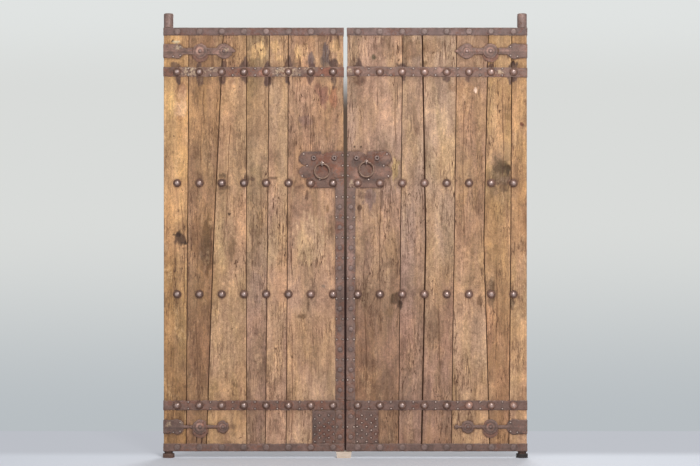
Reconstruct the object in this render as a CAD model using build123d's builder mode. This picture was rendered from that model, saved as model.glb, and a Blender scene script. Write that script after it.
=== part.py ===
from build123d import *
from math import acos, cos, sin, sqrt
import os

os.makedirs("parts", exist_ok=True)

# A pair of plank gate leaves bound with forged iron, in millimetres.
# Origin: on the floor, midway between the leaves, at the middle of the boards' thickness.
# X runs to the right seen from outside, Y runs inwards, away from the viewer, and Z runs up.
# Both leaves are described by u, the distance from the centre line, and z, the height.

# Leaf
half_width = 1093.0  # centre line to the iron on a leaf's outer edge
leaf_bottom = 39.0  # floor to the underside of the bottom strap
leaf_height = 2544.0
gap_at_head = 17.0  # between the meeting edges, iron to iron
gap_at_foot = 10.0
board_thickness = 56.0
iron = 3.5  # thickness of straps and plates

# Boards, from the hanging stile inwards: width at the foot, the middle and the head.
# The meeting board takes what is left.
left_widths = [(134.0, 142.0, 151.0), (120.0, 157.0, 208.0), (243.0, 197.0, 137.0),
               (111.0, 126.0, 138.0), (126.0, 120.0, 114.0)]
right_widths = [(108.0, 96.0, 90.0), (114.0, 162.0, 140.0), (231.0, 177.0, 190.0),
                (180.0, 172.0, 208.0), (138.0, 151.0, 116.0)]
left_gaps = [3.0, 4.0, 2.5, 3.0, 3.0]  # open seams between the boards, in the same order
right_gaps = [4.0, 4.0, 3.0, 8.0, 3.0]
board_names = ["hanging_stile", "second_board", "third_board", "fourth_board", "fifth_board",
               "meeting_board"]

# Straps
end_strap_height = 48.0  # top and bottom straps, folded over the leaf's ends
stud_strap_height = 60.0
edge_strap_width = 54.0
outer_return = 45.0  # how far a stud strap comes round onto the back
meeting_return = 36.0

# Dome studs, with a row for each batten, from the foot up
batten_names = ["bottom_batten", "lower_batten", "upper_batten", "top_batten"]
column_count = 8
lowest_row_rise = 277.0  # leaf's underside to the lowest row
highest_row_drop = 266.0  # leaf's top to the highest row
first_column = 74.0  # centre line to the first column
last_column_inset = 84.0  # leaf's outer edge to the last column
dome_radius = 25.0
dome_height = 19.0
stud_shank_radius = 4.0
peened_radius = 9.0  # end of a shank, hammered over on the back
peened_height = 3.0
shank_clearance = 0.2
rim_share = 0.12  # upright part of a head's rim, as a share of its height

# Battens across the back
batten_height = 80.0
batten_depth = 40.0
batten_end_gap = 5.0  # from a batten's end to the iron that comes round the edge
batten_wear = 4.0  # worn corner along a batten's back

# Flat nails and tacks
end_nail_radius = 19.0  # on the top and bottom straps
edge_nail_radius = 14.0  # on the edge strap
lobe_nail_radius = 9.0  # through the ornaments' lobes
nail_height = 3.0
nail_crown = 0.55  # flat crown of a nail's head, as a share of its radius
lobe_nail_height = 6.0
nail_shank_radius = 2.5
nail_length = 24.0
tack_radius = 5.0
tack_height = 3.5
tack_shank_radius = 1.5
tack_length = 14.0
strap_tack_inset = 10.0  # from a stud strap's edge to its tacks
edge_pitch = 122.0  # from one pair of tacks on the edge strap to the next
edge_tack_inset = 8.0
edge_end_margin = 12.0  # least distance from a tack to its strap's end

# Lock plate, from the middle of the row of studs that it sits on
plate_top_rise = 190.0
plate_notch_rise = 104.0
plate_step_rise = 27.0
plate_bottom_drop = 29.0
plate_reach = 250.0  # centre line to the outer corner of the upper lobe
plate_lobe_bulge = 28.0
plate_notch_inset = 12.0
plate_step_inset = 14.0
plate_foot_inset = 40.0
plate_foot_bulge = 7.0
split_depth = 24.0  # V-shaped split in the plate's top edge, over the ring's eye
split_near = 31.0
split_far = 9.0
corner_tack_drop = 16.0  # tack in the upper lobe, under the plate's top
notch_tack_inset = 8.0
lobe_tack_reach = 8.0  # tack in the lower lobe, past the outer corner
lobe_tack_rise = 15.0
foot_tack_reach = 14.0  # tack under the ring, past the ring's middle
foot_tack_drop = 6.0
edge_tack_rise = 18.0  # lowest tack on the meeting edge, over the plate's step
edge_tack_drop = 22.0  # highest tack on the meeting edge, under the plate's top

# Collared bosses on the lock plate
boss_near = 66.5
boss_far = 190.0
boss_rise = 150.0
boss_radius = 17.5
boss_rim_height = 3.5
boss_crown_radius = 11.0
boss_bore_radius = 6.0
boss_height = 14.0

# Ring pull and its eye
ring_radius = 44.5  # to the middle of the wire
ring_wire_radius = 5.0
left_ring_u = 139.0
right_ring_u = 126.0
left_ring_rise = 71.0  # ring's centre over the plate's row of studs
right_ring_rise = 81.0
eye_wire_radius = 4.0
eye_play = 2.5  # between the ring's wire and the inside of its eye
hang_gap = 0.3
eye_neck = 1.5  # from the loop to the plate's face
collar_radius = 12.0
collar_height = 2.0

# Corner plate
corner_plate_width = 140.0
corner_tack_pitch = 28.0
corner_tack_step = 45.0
corner_tack_inset = 12.0

# Ornaments, measured inwards from the leaf's outer edge
ornament_iron = 5.0
root_length = 125.0
root_height = 84.0
root_radius = 47.0
root_pair_offset = 24.0  # pair of tacks, from the middle of the root's round end
root_pair_rise = 26.0
root_tack_offset = 17.0  # single tack, the other way
root_tack_drop = 32.0
middle_lobe_reach = 222.0
middle_lobe_radius = 46.0
backing_drop = 20.0  # backing disc's centre under the lobe's
backing_rim = 1.0  # how much larger the backing disc is than the lobe
joggle = 0.3  # from the backing disc to the step in the strap
raised_radius = 28.0
raised_height = 1.5
top_neck_height = 40.0
top_lobe_reach = 364.0
top_lobe_radius = 46.0
top_tip_length = 72.0
bottom_neck_height = 20.0
bottom_lobe_reach = 358.0
bottom_lobe_radius = 38.0
bottom_tip_length = 66.0
tip_neck_height = 12.0
diamond_half = 15.0
tip_disc_radius = 13.0

# Hanging pins, their iron and the cups they turn in
top_pin_shoulder = 3.0  # from the top pin to the boards' faces
foot_pin_shoulder = 7.0
pin_cover = 1.5  # wood between the top pin and the stile's outer face
sleeve_wall = 4.0
sleeve_height = 87.0
sleeve_round = 8.0
sleeve_flare = 4.0
pin_clearance = 0.3
shoe_wall = 4.0
shoe_sole = 6.0
shoe_flange = 6.0
shoe_flange_height = 3.0
cup_floor = 7.0
cup_wall = 10.0
cup_round = 3.0
cup_headroom = 6.0  # from the cup's rim to the shoe's flared collar
running_clearance = 0.05
bearing_gap = 0.3

# Block on the floor under the meeting edges
block_top_width = 94.0
block_foot_width = 82.0
block_depth = 70.0
block_offset = -9.0
block_clearance = 0.7

# Levels and lines worked out from the sizes above
leaf_top = leaf_bottom + leaf_height
wood_foot = leaf_bottom + iron
wood_head = leaf_top - iron
wood_middle = (wood_foot + wood_head) / 2
wood_outer = half_width - iron
half_board = board_thickness / 2
iron_front = -half_board - iron
iron_back = half_board + iron
bottom_strap_top = leaf_bottom + end_strap_height
top_strap_foot = leaf_top - end_strap_height
lowest_row = leaf_bottom + lowest_row_rise
highest_row = leaf_top - highest_row_drop
row_pitch = (highest_row - lowest_row) / (len(batten_names) - 1)
rows = [lowest_row + row_pitch * row for row in range(len(batten_names))]
column_pitch = (half_width - last_column_inset - first_column) / (column_count - 1)
columns = [first_column + column_pitch * column for column in range(column_count)]
all_studs = [(u, z) for z in rows for u in columns]
lower_strap_foot = rows[0] - stud_strap_height / 2
lower_strap_top = rows[0] + stud_strap_height / 2
upper_strap_foot = rows[-1] - stud_strap_height / 2
upper_strap_top = rows[-1] + stud_strap_height / 2
lock_z = rows[len(rows) // 2]
plate_foot = lock_z - plate_bottom_drop
plate_step = lock_z + plate_step_rise
plate_notch = lock_z + plate_notch_rise
plate_top = lock_z + plate_top_rise
top_pin_radius = half_board - top_pin_shoulder
foot_pin_radius = half_board - foot_pin_shoulder
pin_u = wood_outer - pin_cover - top_pin_radius
shoe_flange_foot = leaf_bottom - shoe_flange_height
cup_height = shoe_flange_foot - shoe_flange - cup_headroom
ornament_front = -half_board - ornament_iron
raised_lobe_front = iron_front - ornament_iron
batten_back = half_board + batten_depth
eye_inner_radius = ring_wire_radius + eye_play
eye_loop_radius = eye_inner_radius + eye_wire_radius
ring_y = iron_front - eye_neck - eye_loop_radius - eye_wire_radius
wire_to_eye = eye_play - hang_gap  # the ring's wire hangs this far under the eye's centre
middle_lobe_u = half_width - middle_lobe_reach
root_u = half_width - root_length + root_radius
top_ornament_z = (upper_strap_top + top_strap_foot) / 2
bottom_ornament_z = (bottom_strap_top + lower_strap_foot) / 2


def meeting_u(z, inset=0.0):
    # the meeting edge leans: the gap is wider at the head than at the foot
    share = (z - leaf_bottom) / leaf_height
    return (gap_at_foot + (gap_at_head - gap_at_foot) * share) / 2 + inset


def seam(leaf, number, shift):
    # one long line of the leaf from foot to head: 0 is its outer edge, then the seams, then its meeting edge
    if number == 0:
        return [(wood_outer, wood_foot), (wood_outer, wood_head)]
    if number > len(leaf["widths"]):
        return [(meeting_u(wood_foot, iron), wood_foot), (meeting_u(wood_head, iron), wood_head)]
    line = []
    for level, z in enumerate([wood_foot, wood_middle, wood_head]):
        reach = sum(width[level] for width in leaf["widths"][:number])
        line.append((wood_outer - reach + shift, z))
    return line


def fill_outline(sign, points, front, back, mode=Mode.ADD):
    # fills an outline of the front view, given as u and z, between two depths
    with BuildSketch(Plane.XZ.offset(-back)) as outline:
        with BuildLine():
            Polyline(*[(sign * u, z) for u, z in points], close=True)
        make_face()
    extrude(outline.sketch, amount=back - front, mode=mode)


def fill_discs(sign, spots, radius, front, back, mode=Mode.ADD):
    if spots:
        with BuildSketch(Plane.XZ.offset(-back)) as discs:
            with Locations(*[(sign * u, z) for u, z in spots]):
                Circle(radius)
        extrude(discs.sketch, amount=back - front, mode=mode)


def fill_box(sign, u_low, u_high, z_low, z_high, front, back, mode=Mode.ADD):
    corners = [(u_low, z_low), (u_high, z_low), (u_high, z_high), (u_low, z_high)]
    fill_outline(sign, corners, front, back, mode)


def cut_wood(sign):
    # leaves the iron that lies on the boards and comes round their edges
    foot, head = meeting_u(wood_foot, iron), meeting_u(wood_head, iron)
    outline = [(wood_outer, wood_foot), (foot, wood_foot), (head, wood_head), (wood_outer, wood_head)]
    fill_outline(sign, outline, -half_board, half_board, Mode.SUBTRACT)


def meeting_band(z_low, z_high, near, far):
    # outline of a band along the meeting edge
    return [(meeting_u(z_low, near), z_low), (meeting_u(z_low, far), z_low),
            (meeting_u(z_high, far), z_high), (meeting_u(z_high, near), z_high)]


def full_band(z_low, z_high):
    # outline of a band from the meeting edge to the outer edge
    return [(meeting_u(z_low), z_low), (half_width, z_low), (half_width, z_high), (meeting_u(z_high), z_high)]


def clear_of(spots, others, distance):
    # drops the fasteners that would lie under a stud
    return [s for s in spots if all(sqrt((s[0] - o[0]) ** 2 + (s[1] - o[1]) ** 2) > distance for o in others)]


def inside(spots, u_low, u_high, z_low, z_high):
    return [(u, z) for u, z in spots if u_low <= u <= u_high and z_low <= z <= z_high]


def stud_seat(u, z):
    # a dome that overlaps iron stands on it, and the others stand on the boards
    on_strap = z in (rows[0], rows[-1])
    on_edge_strap = z < plate_foot and u - dome_radius < meeting_u(z, edge_strap_width)
    on_plate = z == lock_z and u - dome_radius < plate_reach - plate_foot_inset
    return iron_front if on_strap or on_edge_strap or on_plate else -half_board


def strap_tacks(z):
    # pairs of tacks between the studs of a strap
    rise = stud_strap_height / 2 - strap_tack_inset
    return [(u + column_pitch / 2, z + side * rise) for u in columns[:-1] for side in (-1, 1)]


def edge_strap_top(leaf):
    return plate_step if leaf["strap_beside_plate"] else plate_foot


def edge_levels():
    # heights of the tack pairs and of the nails halfway between them
    pairs = [bottom_ornament_z]
    nails = [bottom_ornament_z - edge_pitch / 2, bottom_ornament_z + edge_pitch / 2]
    level = lower_strap_top + edge_pitch / 2
    while level < plate_foot - edge_end_margin:
        nails.append(level)
        if level + edge_pitch / 2 < plate_foot - edge_end_margin:
            pairs.append(level + edge_pitch / 2)
        level += edge_pitch
    return {"pairs": pairs, "nails": nails}


def edge_tacks():
    spots = [(meeting_u(z, inset), z) for z in edge_levels()["pairs"]
             for inset in (edge_tack_inset, edge_strap_width - edge_tack_inset)]
    return clear_of(spots, all_studs, dome_radius + tack_radius)


def edge_nails():
    spots = [(meeting_u(z, edge_strap_width / 2), z) for z in edge_levels()["nails"]]
    return clear_of(spots, all_studs, dome_radius + edge_nail_radius)


def end_nails():
    levels = (bottom_strap_top + leaf_bottom) / 2, (top_strap_foot + leaf_top) / 2
    return [(u, z) for z in levels for u in columns]


def lock_plate_tacks(leaf):
    spots = [(plate_reach, plate_top - corner_tack_drop),
             (plate_reach - plate_notch_inset - notch_tack_inset, plate_notch),
             (plate_reach + lobe_tack_reach, plate_step + lobe_tack_rise),
             (leaf["ring_u"] + foot_tack_reach, plate_step - foot_tack_drop)]
    for z in (plate_step + edge_tack_rise, plate_notch, plate_top - edge_tack_drop):
        spots.append((meeting_u(z, edge_tack_inset), z))
    return clear_of(spots, all_studs, dome_radius + tack_radius)


def corner_tacks():
    # staggered columns that fill the corner plate
    spots = []
    first = edge_strap_width + gap_at_foot / 2 + corner_tack_inset
    low = bottom_strap_top + corner_tack_inset
    high = lower_strap_foot - corner_tack_inset
    for column in range(int((corner_plate_width - 2 * corner_tack_inset) / corner_tack_pitch) + 1):
        z = low + (column % 2) * corner_tack_step / 2
        while z <= high:
            spots.append((first + column * corner_tack_pitch, z))
            z += corner_tack_step
    return spots


def ornament_tacks():
    spots = []
    for z in (top_ornament_z, bottom_ornament_z):
        spots += [(root_u - root_pair_offset, z + root_pair_rise),
                  (root_u - root_pair_offset, z - root_pair_rise),
                  (root_u + root_tack_offset, z - root_tack_drop)]
    return spots


def middle_lobe_nails():
    return [(middle_lobe_u, top_ornament_z), (middle_lobe_u, bottom_ornament_z)]


def end_lobe_nails():
    return [(half_width - top_lobe_reach, top_ornament_z),
            (half_width - bottom_lobe_reach, bottom_ornament_z)]


def iron_tacks(leaf):
    return (strap_tacks(rows[0]) + strap_tacks(rows[-1]) + edge_tacks() + lock_plate_tacks(leaf)
            + corner_tacks())


def eye_z(leaf):
    return lock_z + leaf["ring_rise"] + ring_radius + wire_to_eye


def drill_fastenings(leaf, u_low, u_high, z_low, z_high):
    # clearance holes for every shank that enters from the front inside the given bounds
    sign = leaf["sign"]
    bounds = (u_low, u_high, z_low, z_high)
    nails = end_nails() + edge_nails() + middle_lobe_nails() + end_lobe_nails()
    tacks = iron_tacks(leaf) + ornament_tacks()
    fill_discs(sign, inside(all_studs, *bounds), stud_shank_radius + shank_clearance,
               raised_lobe_front, batten_back, Mode.SUBTRACT)
    fill_discs(sign, inside(nails, *bounds), nail_shank_radius + shank_clearance,
               raised_lobe_front - raised_height, -half_board + nail_length, Mode.SUBTRACT)
    fill_discs(sign, inside(tacks, *bounds), tack_shank_radius + shank_clearance,
               ornament_front, -half_board + tack_length, Mode.SUBTRACT)
    fill_discs(sign, inside([(leaf["ring_u"], eye_z(leaf))], *bounds), eye_wire_radius + shank_clearance,
               iron_front, half_board, Mode.SUBTRACT)


def save(part, name):
    part.label = name
    export_step(part, f"parts/{name}.step")


def headed_shank(head_radius, head_height, shank_radius, depth, tail_radius=0.0, tail_height=0.0,
                 crown_radius=0.0):
    # a domed or flat-crowned head on a round shank, with its seat at the origin and its shank along +Y
    crown, rim = (crown_radius, -head_height), (head_radius, -head_height * rim_share)
    with BuildPart() as fastener:
        with BuildSketch(Plane.XY):
            with BuildLine():
                TangentArc(crown, rim, tangent=(1, 0))
                outline = [rim, (head_radius, 0), (shank_radius, 0), (shank_radius, depth)]
                if tail_height:
                    outline += [(tail_radius, depth), (tail_radius, depth + tail_height)]
                outline += [(0, depth + tail_height), (0, -head_height)]
                if crown_radius:
                    outline.append(crown)
                Polyline(*outline)
            make_face()
        revolve(axis=Axis.Y)
    return fastener.part


def make_boards(leaf, name):
    sign = leaf["sign"]
    gaps = [0.0] + leaf["gaps"] + [0.0]
    for number, board_name in enumerate(board_names):
        outer = seam(leaf, number, -gaps[number] / 2)
        inner = seam(leaf, number + 1, gaps[number + 1] / 2)
        with BuildPart() as board:
            fill_outline(sign, outer + inner[::-1], -half_board, half_board)
            if number == 0:
                with Locations((sign * pin_u, 0, wood_head)):
                    Cylinder(top_pin_radius, sleeve_height + iron - sleeve_wall - pin_clearance,
                             align=(Align.CENTER, Align.CENTER, Align.MIN))
                with Locations((sign * pin_u, 0, wood_foot)):
                    Cylinder(foot_pin_radius, wood_foot - cup_floor - bearing_gap - shoe_sole - pin_clearance,
                             align=(Align.CENTER, Align.CENTER, Align.MAX))
            low = min(u for u, z in inner) - stud_shank_radius - shank_clearance
            high = max(u for u, z in outer) + stud_shank_radius + shank_clearance
            drill_fastenings(leaf, low, high, wood_foot, wood_head)
        save(board.part, f"{name}_{board_name}")


def make_battens(leaf, name):
    sign = leaf["sign"]
    near = meeting_u(leaf_top, meeting_return) + batten_end_gap
    far = half_width - outer_return - batten_end_gap
    for z, batten_name in zip(rows, batten_names):
        with BuildPart() as batten:
            fill_box(sign, near, far, z - batten_height / 2, z + batten_height / 2, half_board, batten_back)
            worn = batten.faces().sort_by(Axis.Y)[-1].edges().filter_by(Axis.X)
            chamfer(worn, batten_wear)
            fill_discs(sign, [(u, z) for u in columns], stud_shank_radius + shank_clearance,
                       half_board, batten_back, Mode.SUBTRACT)
        save(batten.part, f"{name}_{batten_name}")


def make_end_straps(leaf, name):
    # the top and bottom straps are folded over the leaf's ends, and boxed round both edges
    sign = leaf["sign"]
    with BuildPart() as top_strap:
        fill_outline(sign, full_band(top_strap_foot, leaf_top), iron_front, iron_back)
        cut_wood(sign)
        with Locations((sign * pin_u, 0, wood_head)):
            Cylinder(top_pin_radius + pin_clearance, iron,
                     align=(Align.CENTER, Align.CENTER, Align.MIN), mode=Mode.SUBTRACT)
        drill_fastenings(leaf, 0, half_width, top_strap_foot, leaf_top)
    save(top_strap.part, f"{name}_top_strap")
    with BuildPart() as bottom_strap:
        fill_outline(sign, full_band(leaf_bottom, bottom_strap_top), iron_front, iron_back)
        cut_wood(sign)
        with Locations((sign * pin_u, 0, leaf_bottom)):
            Cylinder(foot_pin_radius + pin_clearance, iron,
                     align=(Align.CENTER, Align.CENTER, Align.MIN), mode=Mode.SUBTRACT)
        drill_fastenings(leaf, 0, half_width, leaf_bottom, bottom_strap_top)
    save(bottom_strap.part, f"{name}_bottom_strap")


def make_stud_straps(leaf, name):
    # flat straps that come round both edges onto the back
    sign = leaf["sign"]
    levels = {"lower_stud_strap": (lower_strap_foot, lower_strap_top),
              "upper_stud_strap": (upper_strap_foot, upper_strap_top)}
    for strap_name, (low, high) in levels.items():
        with BuildPart() as strap:
            fill_outline(sign, full_band(low, high), iron_front, iron_back)
            cut_wood(sign)
            opening = [(meeting_u(low, meeting_return), low), (half_width - outer_return, low),
                       (half_width - outer_return, high), (meeting_u(high, meeting_return), high)]
            fill_outline(sign, opening, half_board, iron_back, Mode.SUBTRACT)
            drill_fastenings(leaf, 0, half_width, low, high)
        save(strap.part, f"{name}_{strap_name}")


def make_edge_strap(leaf, name):
    # two lengths, under and over the lower stud strap
    sign = leaf["sign"]
    with BuildPart() as edge_strap:
        for low, high in [(bottom_strap_top, lower_strap_foot), (lower_strap_top, edge_strap_top(leaf))]:
            fill_outline(sign, meeting_band(low, high, 0, edge_strap_width), iron_front, iron_back)
            fill_outline(sign, meeting_band(low, high, meeting_return, edge_strap_width),
                         half_board, iron_back, Mode.SUBTRACT)
        cut_wood(sign)
        drill_fastenings(leaf, 0, 2 * edge_strap_width, bottom_strap_top, edge_strap_top(leaf))
    save(edge_strap.part, f"{name}_edge_strap")


def make_lock_plate(leaf, name):
    # two lobes on the outer side, a V-shaped split over the ring, and a return round the meeting edge
    sign, ring_u = leaf["sign"], leaf["ring_u"]
    edge_foot = edge_strap_top(leaf)
    lobe_u = plate_reach + plate_lobe_bulge
    top_corner = (plate_reach, plate_top)
    upper_lobe = (lobe_u, (plate_top + plate_notch) / 2)
    notch = (plate_reach - plate_notch_inset, plate_notch)
    lower_lobe = (lobe_u, (plate_step + plate_notch) / 2)
    step = (plate_reach - plate_step_inset, plate_step)
    foot_corner = (plate_reach - plate_foot_inset, plate_foot)
    foot_middle = ((step[0] + foot_corner[0]) / 2 + plate_foot_bulge, (plate_foot + plate_step) / 2)
    start = (meeting_u(plate_top), plate_top)
    split = [(ring_u - split_near, plate_top), (ring_u, plate_top - split_depth),
             (ring_u + split_far, plate_top)]
    ending = [foot_corner, (meeting_u(plate_foot), plate_foot)]
    if leaf["strap_beside_plate"]:
        ending = [foot_corner, (meeting_u(plate_foot, edge_strap_width), plate_foot),
                  (meeting_u(plate_step, edge_strap_width), plate_step), (meeting_u(plate_step), plate_step)]

    def mirrored(points):
        return [(sign * u, z) for u, z in points]

    with BuildPart() as lock_plate:
        with BuildSketch(Plane.XZ.offset(half_board)):
            with BuildLine():
                Polyline(*mirrored([start] + split + [top_corner]))
                ThreePointArc(*mirrored([top_corner, upper_lobe, notch]))
                ThreePointArc(*mirrored([notch, lower_lobe, step]))
                ThreePointArc(*mirrored([step, foot_middle, foot_corner]))
                Polyline(*mirrored(ending + [start]))
            make_face()
        extrude(amount=iron)
        fill_outline(sign, meeting_band(edge_foot, plate_top, 0, iron), -half_board, half_board)
        fill_outline(sign, meeting_band(edge_foot, plate_top, 0, meeting_return), half_board, iron_back)
        cut_wood(sign)
        drill_fastenings(leaf, 0, lobe_u, plate_foot, plate_top)
    save(lock_plate.part, f"{name}_lock_plate")


def make_corner_plate(leaf, name):
    sign = leaf["sign"]
    far = edge_strap_width + corner_plate_width
    with BuildPart() as corner_plate:
        fill_outline(sign, meeting_band(bottom_strap_top, lower_strap_foot, edge_strap_width, far),
                     iron_front, -half_board)
        drill_fastenings(leaf, edge_strap_width, far + gap_at_foot, bottom_strap_top, lower_strap_foot)
    save(corner_plate.part, f"{name}_corner_plate")


def make_ornament(leaf, name, z, neck_height, end_reach, end_radius, tip_length, tip):
    # a forged strap of three lobes, its middle lobe stepped over a backing disc
    sign = leaf["sign"]
    end_u = half_width - end_reach
    tip_u = end_u - tip_length
    step = middle_lobe_radius + backing_rim + joggle
    neck_low, neck_high = z - neck_height / 2, z + neck_height / 2
    root_low, root_high = z - root_height / 2, z + root_height / 2
    with BuildPart() as ornament:
        fill_box(sign, root_u, half_width, root_low, root_high, ornament_front, iron_back)
        fill_box(sign, root_u, half_width - outer_return, z - root_height, z + root_height,
                 half_board, iron_back, Mode.SUBTRACT)
        cut_wood(sign)
        fill_discs(sign, [(root_u, z)], root_radius, ornament_front, -half_board)
        fill_box(sign, end_u, middle_lobe_u - step, neck_low, neck_high, ornament_front, -half_board)
        fill_box(sign, middle_lobe_u + step, root_u, neck_low, neck_high, ornament_front, -half_board)
        fill_box(sign, middle_lobe_u - step, middle_lobe_u + step, neck_low, neck_high,
                 ornament_front, iron_front)
        fill_discs(sign, [(middle_lobe_u, z)], middle_lobe_radius, raised_lobe_front, iron_front)
        fill_discs(sign, [(end_u, z)], end_radius, ornament_front, -half_board)
        fill_discs(sign, [(end_u, z)], raised_radius, ornament_front - raised_height, ornament_front)
        if tip == "leaf":
            turn = acos(end_radius / tip_length)
            touch_u, touch_z = end_u - end_radius * cos(turn), end_radius * sin(turn)
            fill_outline(sign, [(end_u, z), (touch_u, z - touch_z), (tip_u, z), (touch_u, z + touch_z)],
                         ornament_front, -half_board)
        else:
            fill_box(sign, tip_u, end_u, z - tip_neck_height / 2, z + tip_neck_height / 2,
                     ornament_front, -half_board)
        if tip == "diamond":
            diamond = [(tip_u + diamond_half, z), (tip_u, z - diamond_half),
                       (tip_u - diamond_half, z), (tip_u, z + diamond_half)]
            fill_outline(sign, diamond, ornament_front, -half_board)
        if tip == "disc":
            fill_discs(sign, [(tip_u, z)], tip_disc_radius, ornament_front, -half_board)
        drill_fastenings(leaf, tip_u, half_width, z - root_height, z + root_height)
    save(ornament.part, name)


def make_backing_discs(leaf, name):
    sign = leaf["sign"]
    radius = middle_lobe_radius + backing_rim
    with BuildPart() as backing_discs:
        for z in (bottom_ornament_z, top_ornament_z):
            fill_discs(sign, [(middle_lobe_u, z - backing_drop)], radius, iron_front, -half_board)
            drill_fastenings(leaf, middle_lobe_u - radius, middle_lobe_u + radius, z - radius, z + radius)
    save(backing_discs.part, f"{name}_backing_discs")


def make_dome_studs(leaf, name):
    sign = leaf["sign"]
    with BuildPart() as dome_studs:
        for seat in (-half_board, iron_front):
            stud = headed_shank(dome_radius, dome_height, stud_shank_radius, batten_back - seat,
                                peened_radius, peened_height)
            with Locations(*[(sign * u, seat, z) for u, z in all_studs if stud_seat(u, z) == seat]):
                add(stud, clean=False)
    save(dome_studs.part, f"{name}_dome_studs")


def make_nails(leaf, name):
    sign = leaf["sign"]
    kinds = [(end_nails(), iron_front, end_nail_radius, nail_height),
             (edge_nails(), iron_front, edge_nail_radius, nail_height),
             (middle_lobe_nails(), raised_lobe_front, lobe_nail_radius, lobe_nail_height),
             (end_lobe_nails(), ornament_front - raised_height, lobe_nail_radius, lobe_nail_height)]
    with BuildPart() as nails:
        for spots, seat, radius, height in kinds:
            depth = nail_length - half_board - seat - shank_clearance
            nail = headed_shank(radius, height, nail_shank_radius, depth, crown_radius=nail_crown * radius)
            with Locations(*[(sign * u, seat, z) for u, z in spots]):
                add(nail, clean=False)
    save(nails.part, f"{name}_nails")


def make_tacks(leaf, name):
    sign = leaf["sign"]
    with BuildPart() as tacks:
        for spots, seat in [(iron_tacks(leaf), iron_front), (ornament_tacks(), ornament_front)]:
            depth = tack_length - half_board - seat - shank_clearance
            tack = headed_shank(tack_radius, tack_height, tack_shank_radius, depth)
            with Locations(*[(sign * u, seat, z) for u, z in spots]):
                add(tack, clean=False)
    save(tacks.part, f"{name}_tacks")


def make_bosses(leaf, name):
    # hollow collars over the holes of older fittings
    sign = leaf["sign"]
    rim, crown = (boss_radius, -boss_rim_height), (boss_crown_radius, -boss_height)
    with BuildPart() as boss:
        with BuildSketch(Plane.XY):
            with BuildLine():
                Polyline((boss_bore_radius, 0), (boss_radius, 0), rim)
                TangentArc(rim, crown, tangent=(0, -1))
                Polyline(crown, (boss_bore_radius, -boss_height), (boss_bore_radius, 0))
            make_face()
        revolve(axis=Axis.Y)
    with BuildPart() as bosses:
        with Locations(*[(sign * u, iron_front, lock_z + boss_rise) for u in (boss_near, boss_far)]):
            add(boss.part, clean=False)
    save(bosses.part, f"{name}_bosses")


def make_ring_eye(leaf, name):
    # a loop on a shank that goes through the plate and the board, and is hammered over on the back
    x, z = leaf["sign"] * leaf["ring_u"], eye_z(leaf)
    with BuildPart() as ring_eye:
        with BuildSketch(Plane.XY.offset(z)):
            with Locations((x, ring_y - eye_loop_radius)):
                Circle(eye_wire_radius)
        revolve(axis=Axis((x, ring_y, z), (1, 0, 0)))
        fill_discs(1, [(x, z)], eye_wire_radius, ring_y + eye_loop_radius, half_board)
        fill_discs(1, [(x, z)], collar_radius, iron_front - collar_height, iron_front)
        fill_discs(1, [(x, z)], peened_radius, half_board, half_board + peened_height)
    save(ring_eye.part, f"{name}_ring_eye")


def make_ring_pull(leaf, name):
    x, z = leaf["sign"] * leaf["ring_u"], lock_z + leaf["ring_rise"]
    with BuildPart() as ring_pull:
        with BuildSketch(Plane.XY.offset(z)):
            with Locations((x + ring_radius, ring_y)):
                Circle(ring_wire_radius)
        revolve(axis=Axis((x, ring_y, z), (0, 1, 0)))
    save(ring_pull.part, f"{name}_ring_pull")


def make_top_pin_sleeve(leaf, name):
    x = leaf["sign"] * pin_u
    bore, outside = top_pin_radius + pin_clearance, top_pin_radius + sleeve_wall
    inner_top, crown = sleeve_height - sleeve_wall, sleeve_height - sleeve_round
    with BuildPart() as top_pin_sleeve:
        with BuildSketch(Plane((x, 0, leaf_top), x_dir=(1, 0, 0), z_dir=(0, -1, 0))):
            with BuildLine():
                Polyline((outside + sleeve_flare, 0), (bore, 0), (bore, inner_top), (0, inner_top),
                         (0, sleeve_height), (outside - sleeve_round, sleeve_height))
                RadiusArc((outside - sleeve_round, sleeve_height), (outside, crown), sleeve_round)
                Line((outside, crown), (outside, sleeve_flare))
                RadiusArc((outside, sleeve_flare), (outside + sleeve_flare, 0), -sleeve_flare)
            make_face()
        revolve(axis=Axis((x, 0, 0), (0, 0, 1)))
    save(top_pin_sleeve.part, f"{name}_top_pin_sleeve")


def make_bottom_pin_shoe(leaf, name):
    x = leaf["sign"] * pin_u
    bore, outside = foot_pin_radius + pin_clearance, foot_pin_radius + shoe_wall
    sole = cup_floor + bearing_gap
    collar = (outside + shoe_flange, shoe_flange_foot)
    neck = (outside, shoe_flange_foot - shoe_flange)
    with BuildPart() as bottom_pin_shoe:
        with BuildSketch(Plane((x, 0, 0), x_dir=(1, 0, 0), z_dir=(0, -1, 0))):
            with BuildLine():
                Polyline(neck, (outside, sole), (0, sole), (0, sole + shoe_sole), (bore, sole + shoe_sole),
                         (bore, leaf_bottom), (outside + shoe_flange, leaf_bottom), collar)
                RadiusArc(neck, collar, shoe_flange)
            make_face()
        revolve(axis=Axis((x, 0, 0), (0, 0, 1)))
    save(bottom_pin_shoe.part, f"{name}_bottom_pin_shoe")


def make_pivot_cup(leaf, name):
    x = leaf["sign"] * pin_u
    bore = foot_pin_radius + shoe_wall + running_clearance
    with BuildPart() as pivot_cup:
        with BuildSketch(Plane.XY):
            with Locations((x, 0)):
                Circle(bore + cup_wall)
        extrude(amount=cup_height)
        fillet(pivot_cup.faces().sort_by(Axis.Z)[-1].edges(), cup_round)
        with BuildSketch(Plane.XY.offset(cup_floor)):
            with Locations((x, 0)):
                Circle(bore)
        extrude(amount=cup_height, mode=Mode.SUBTRACT)
    save(pivot_cup.part, f"{name}_pivot_cup")


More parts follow.
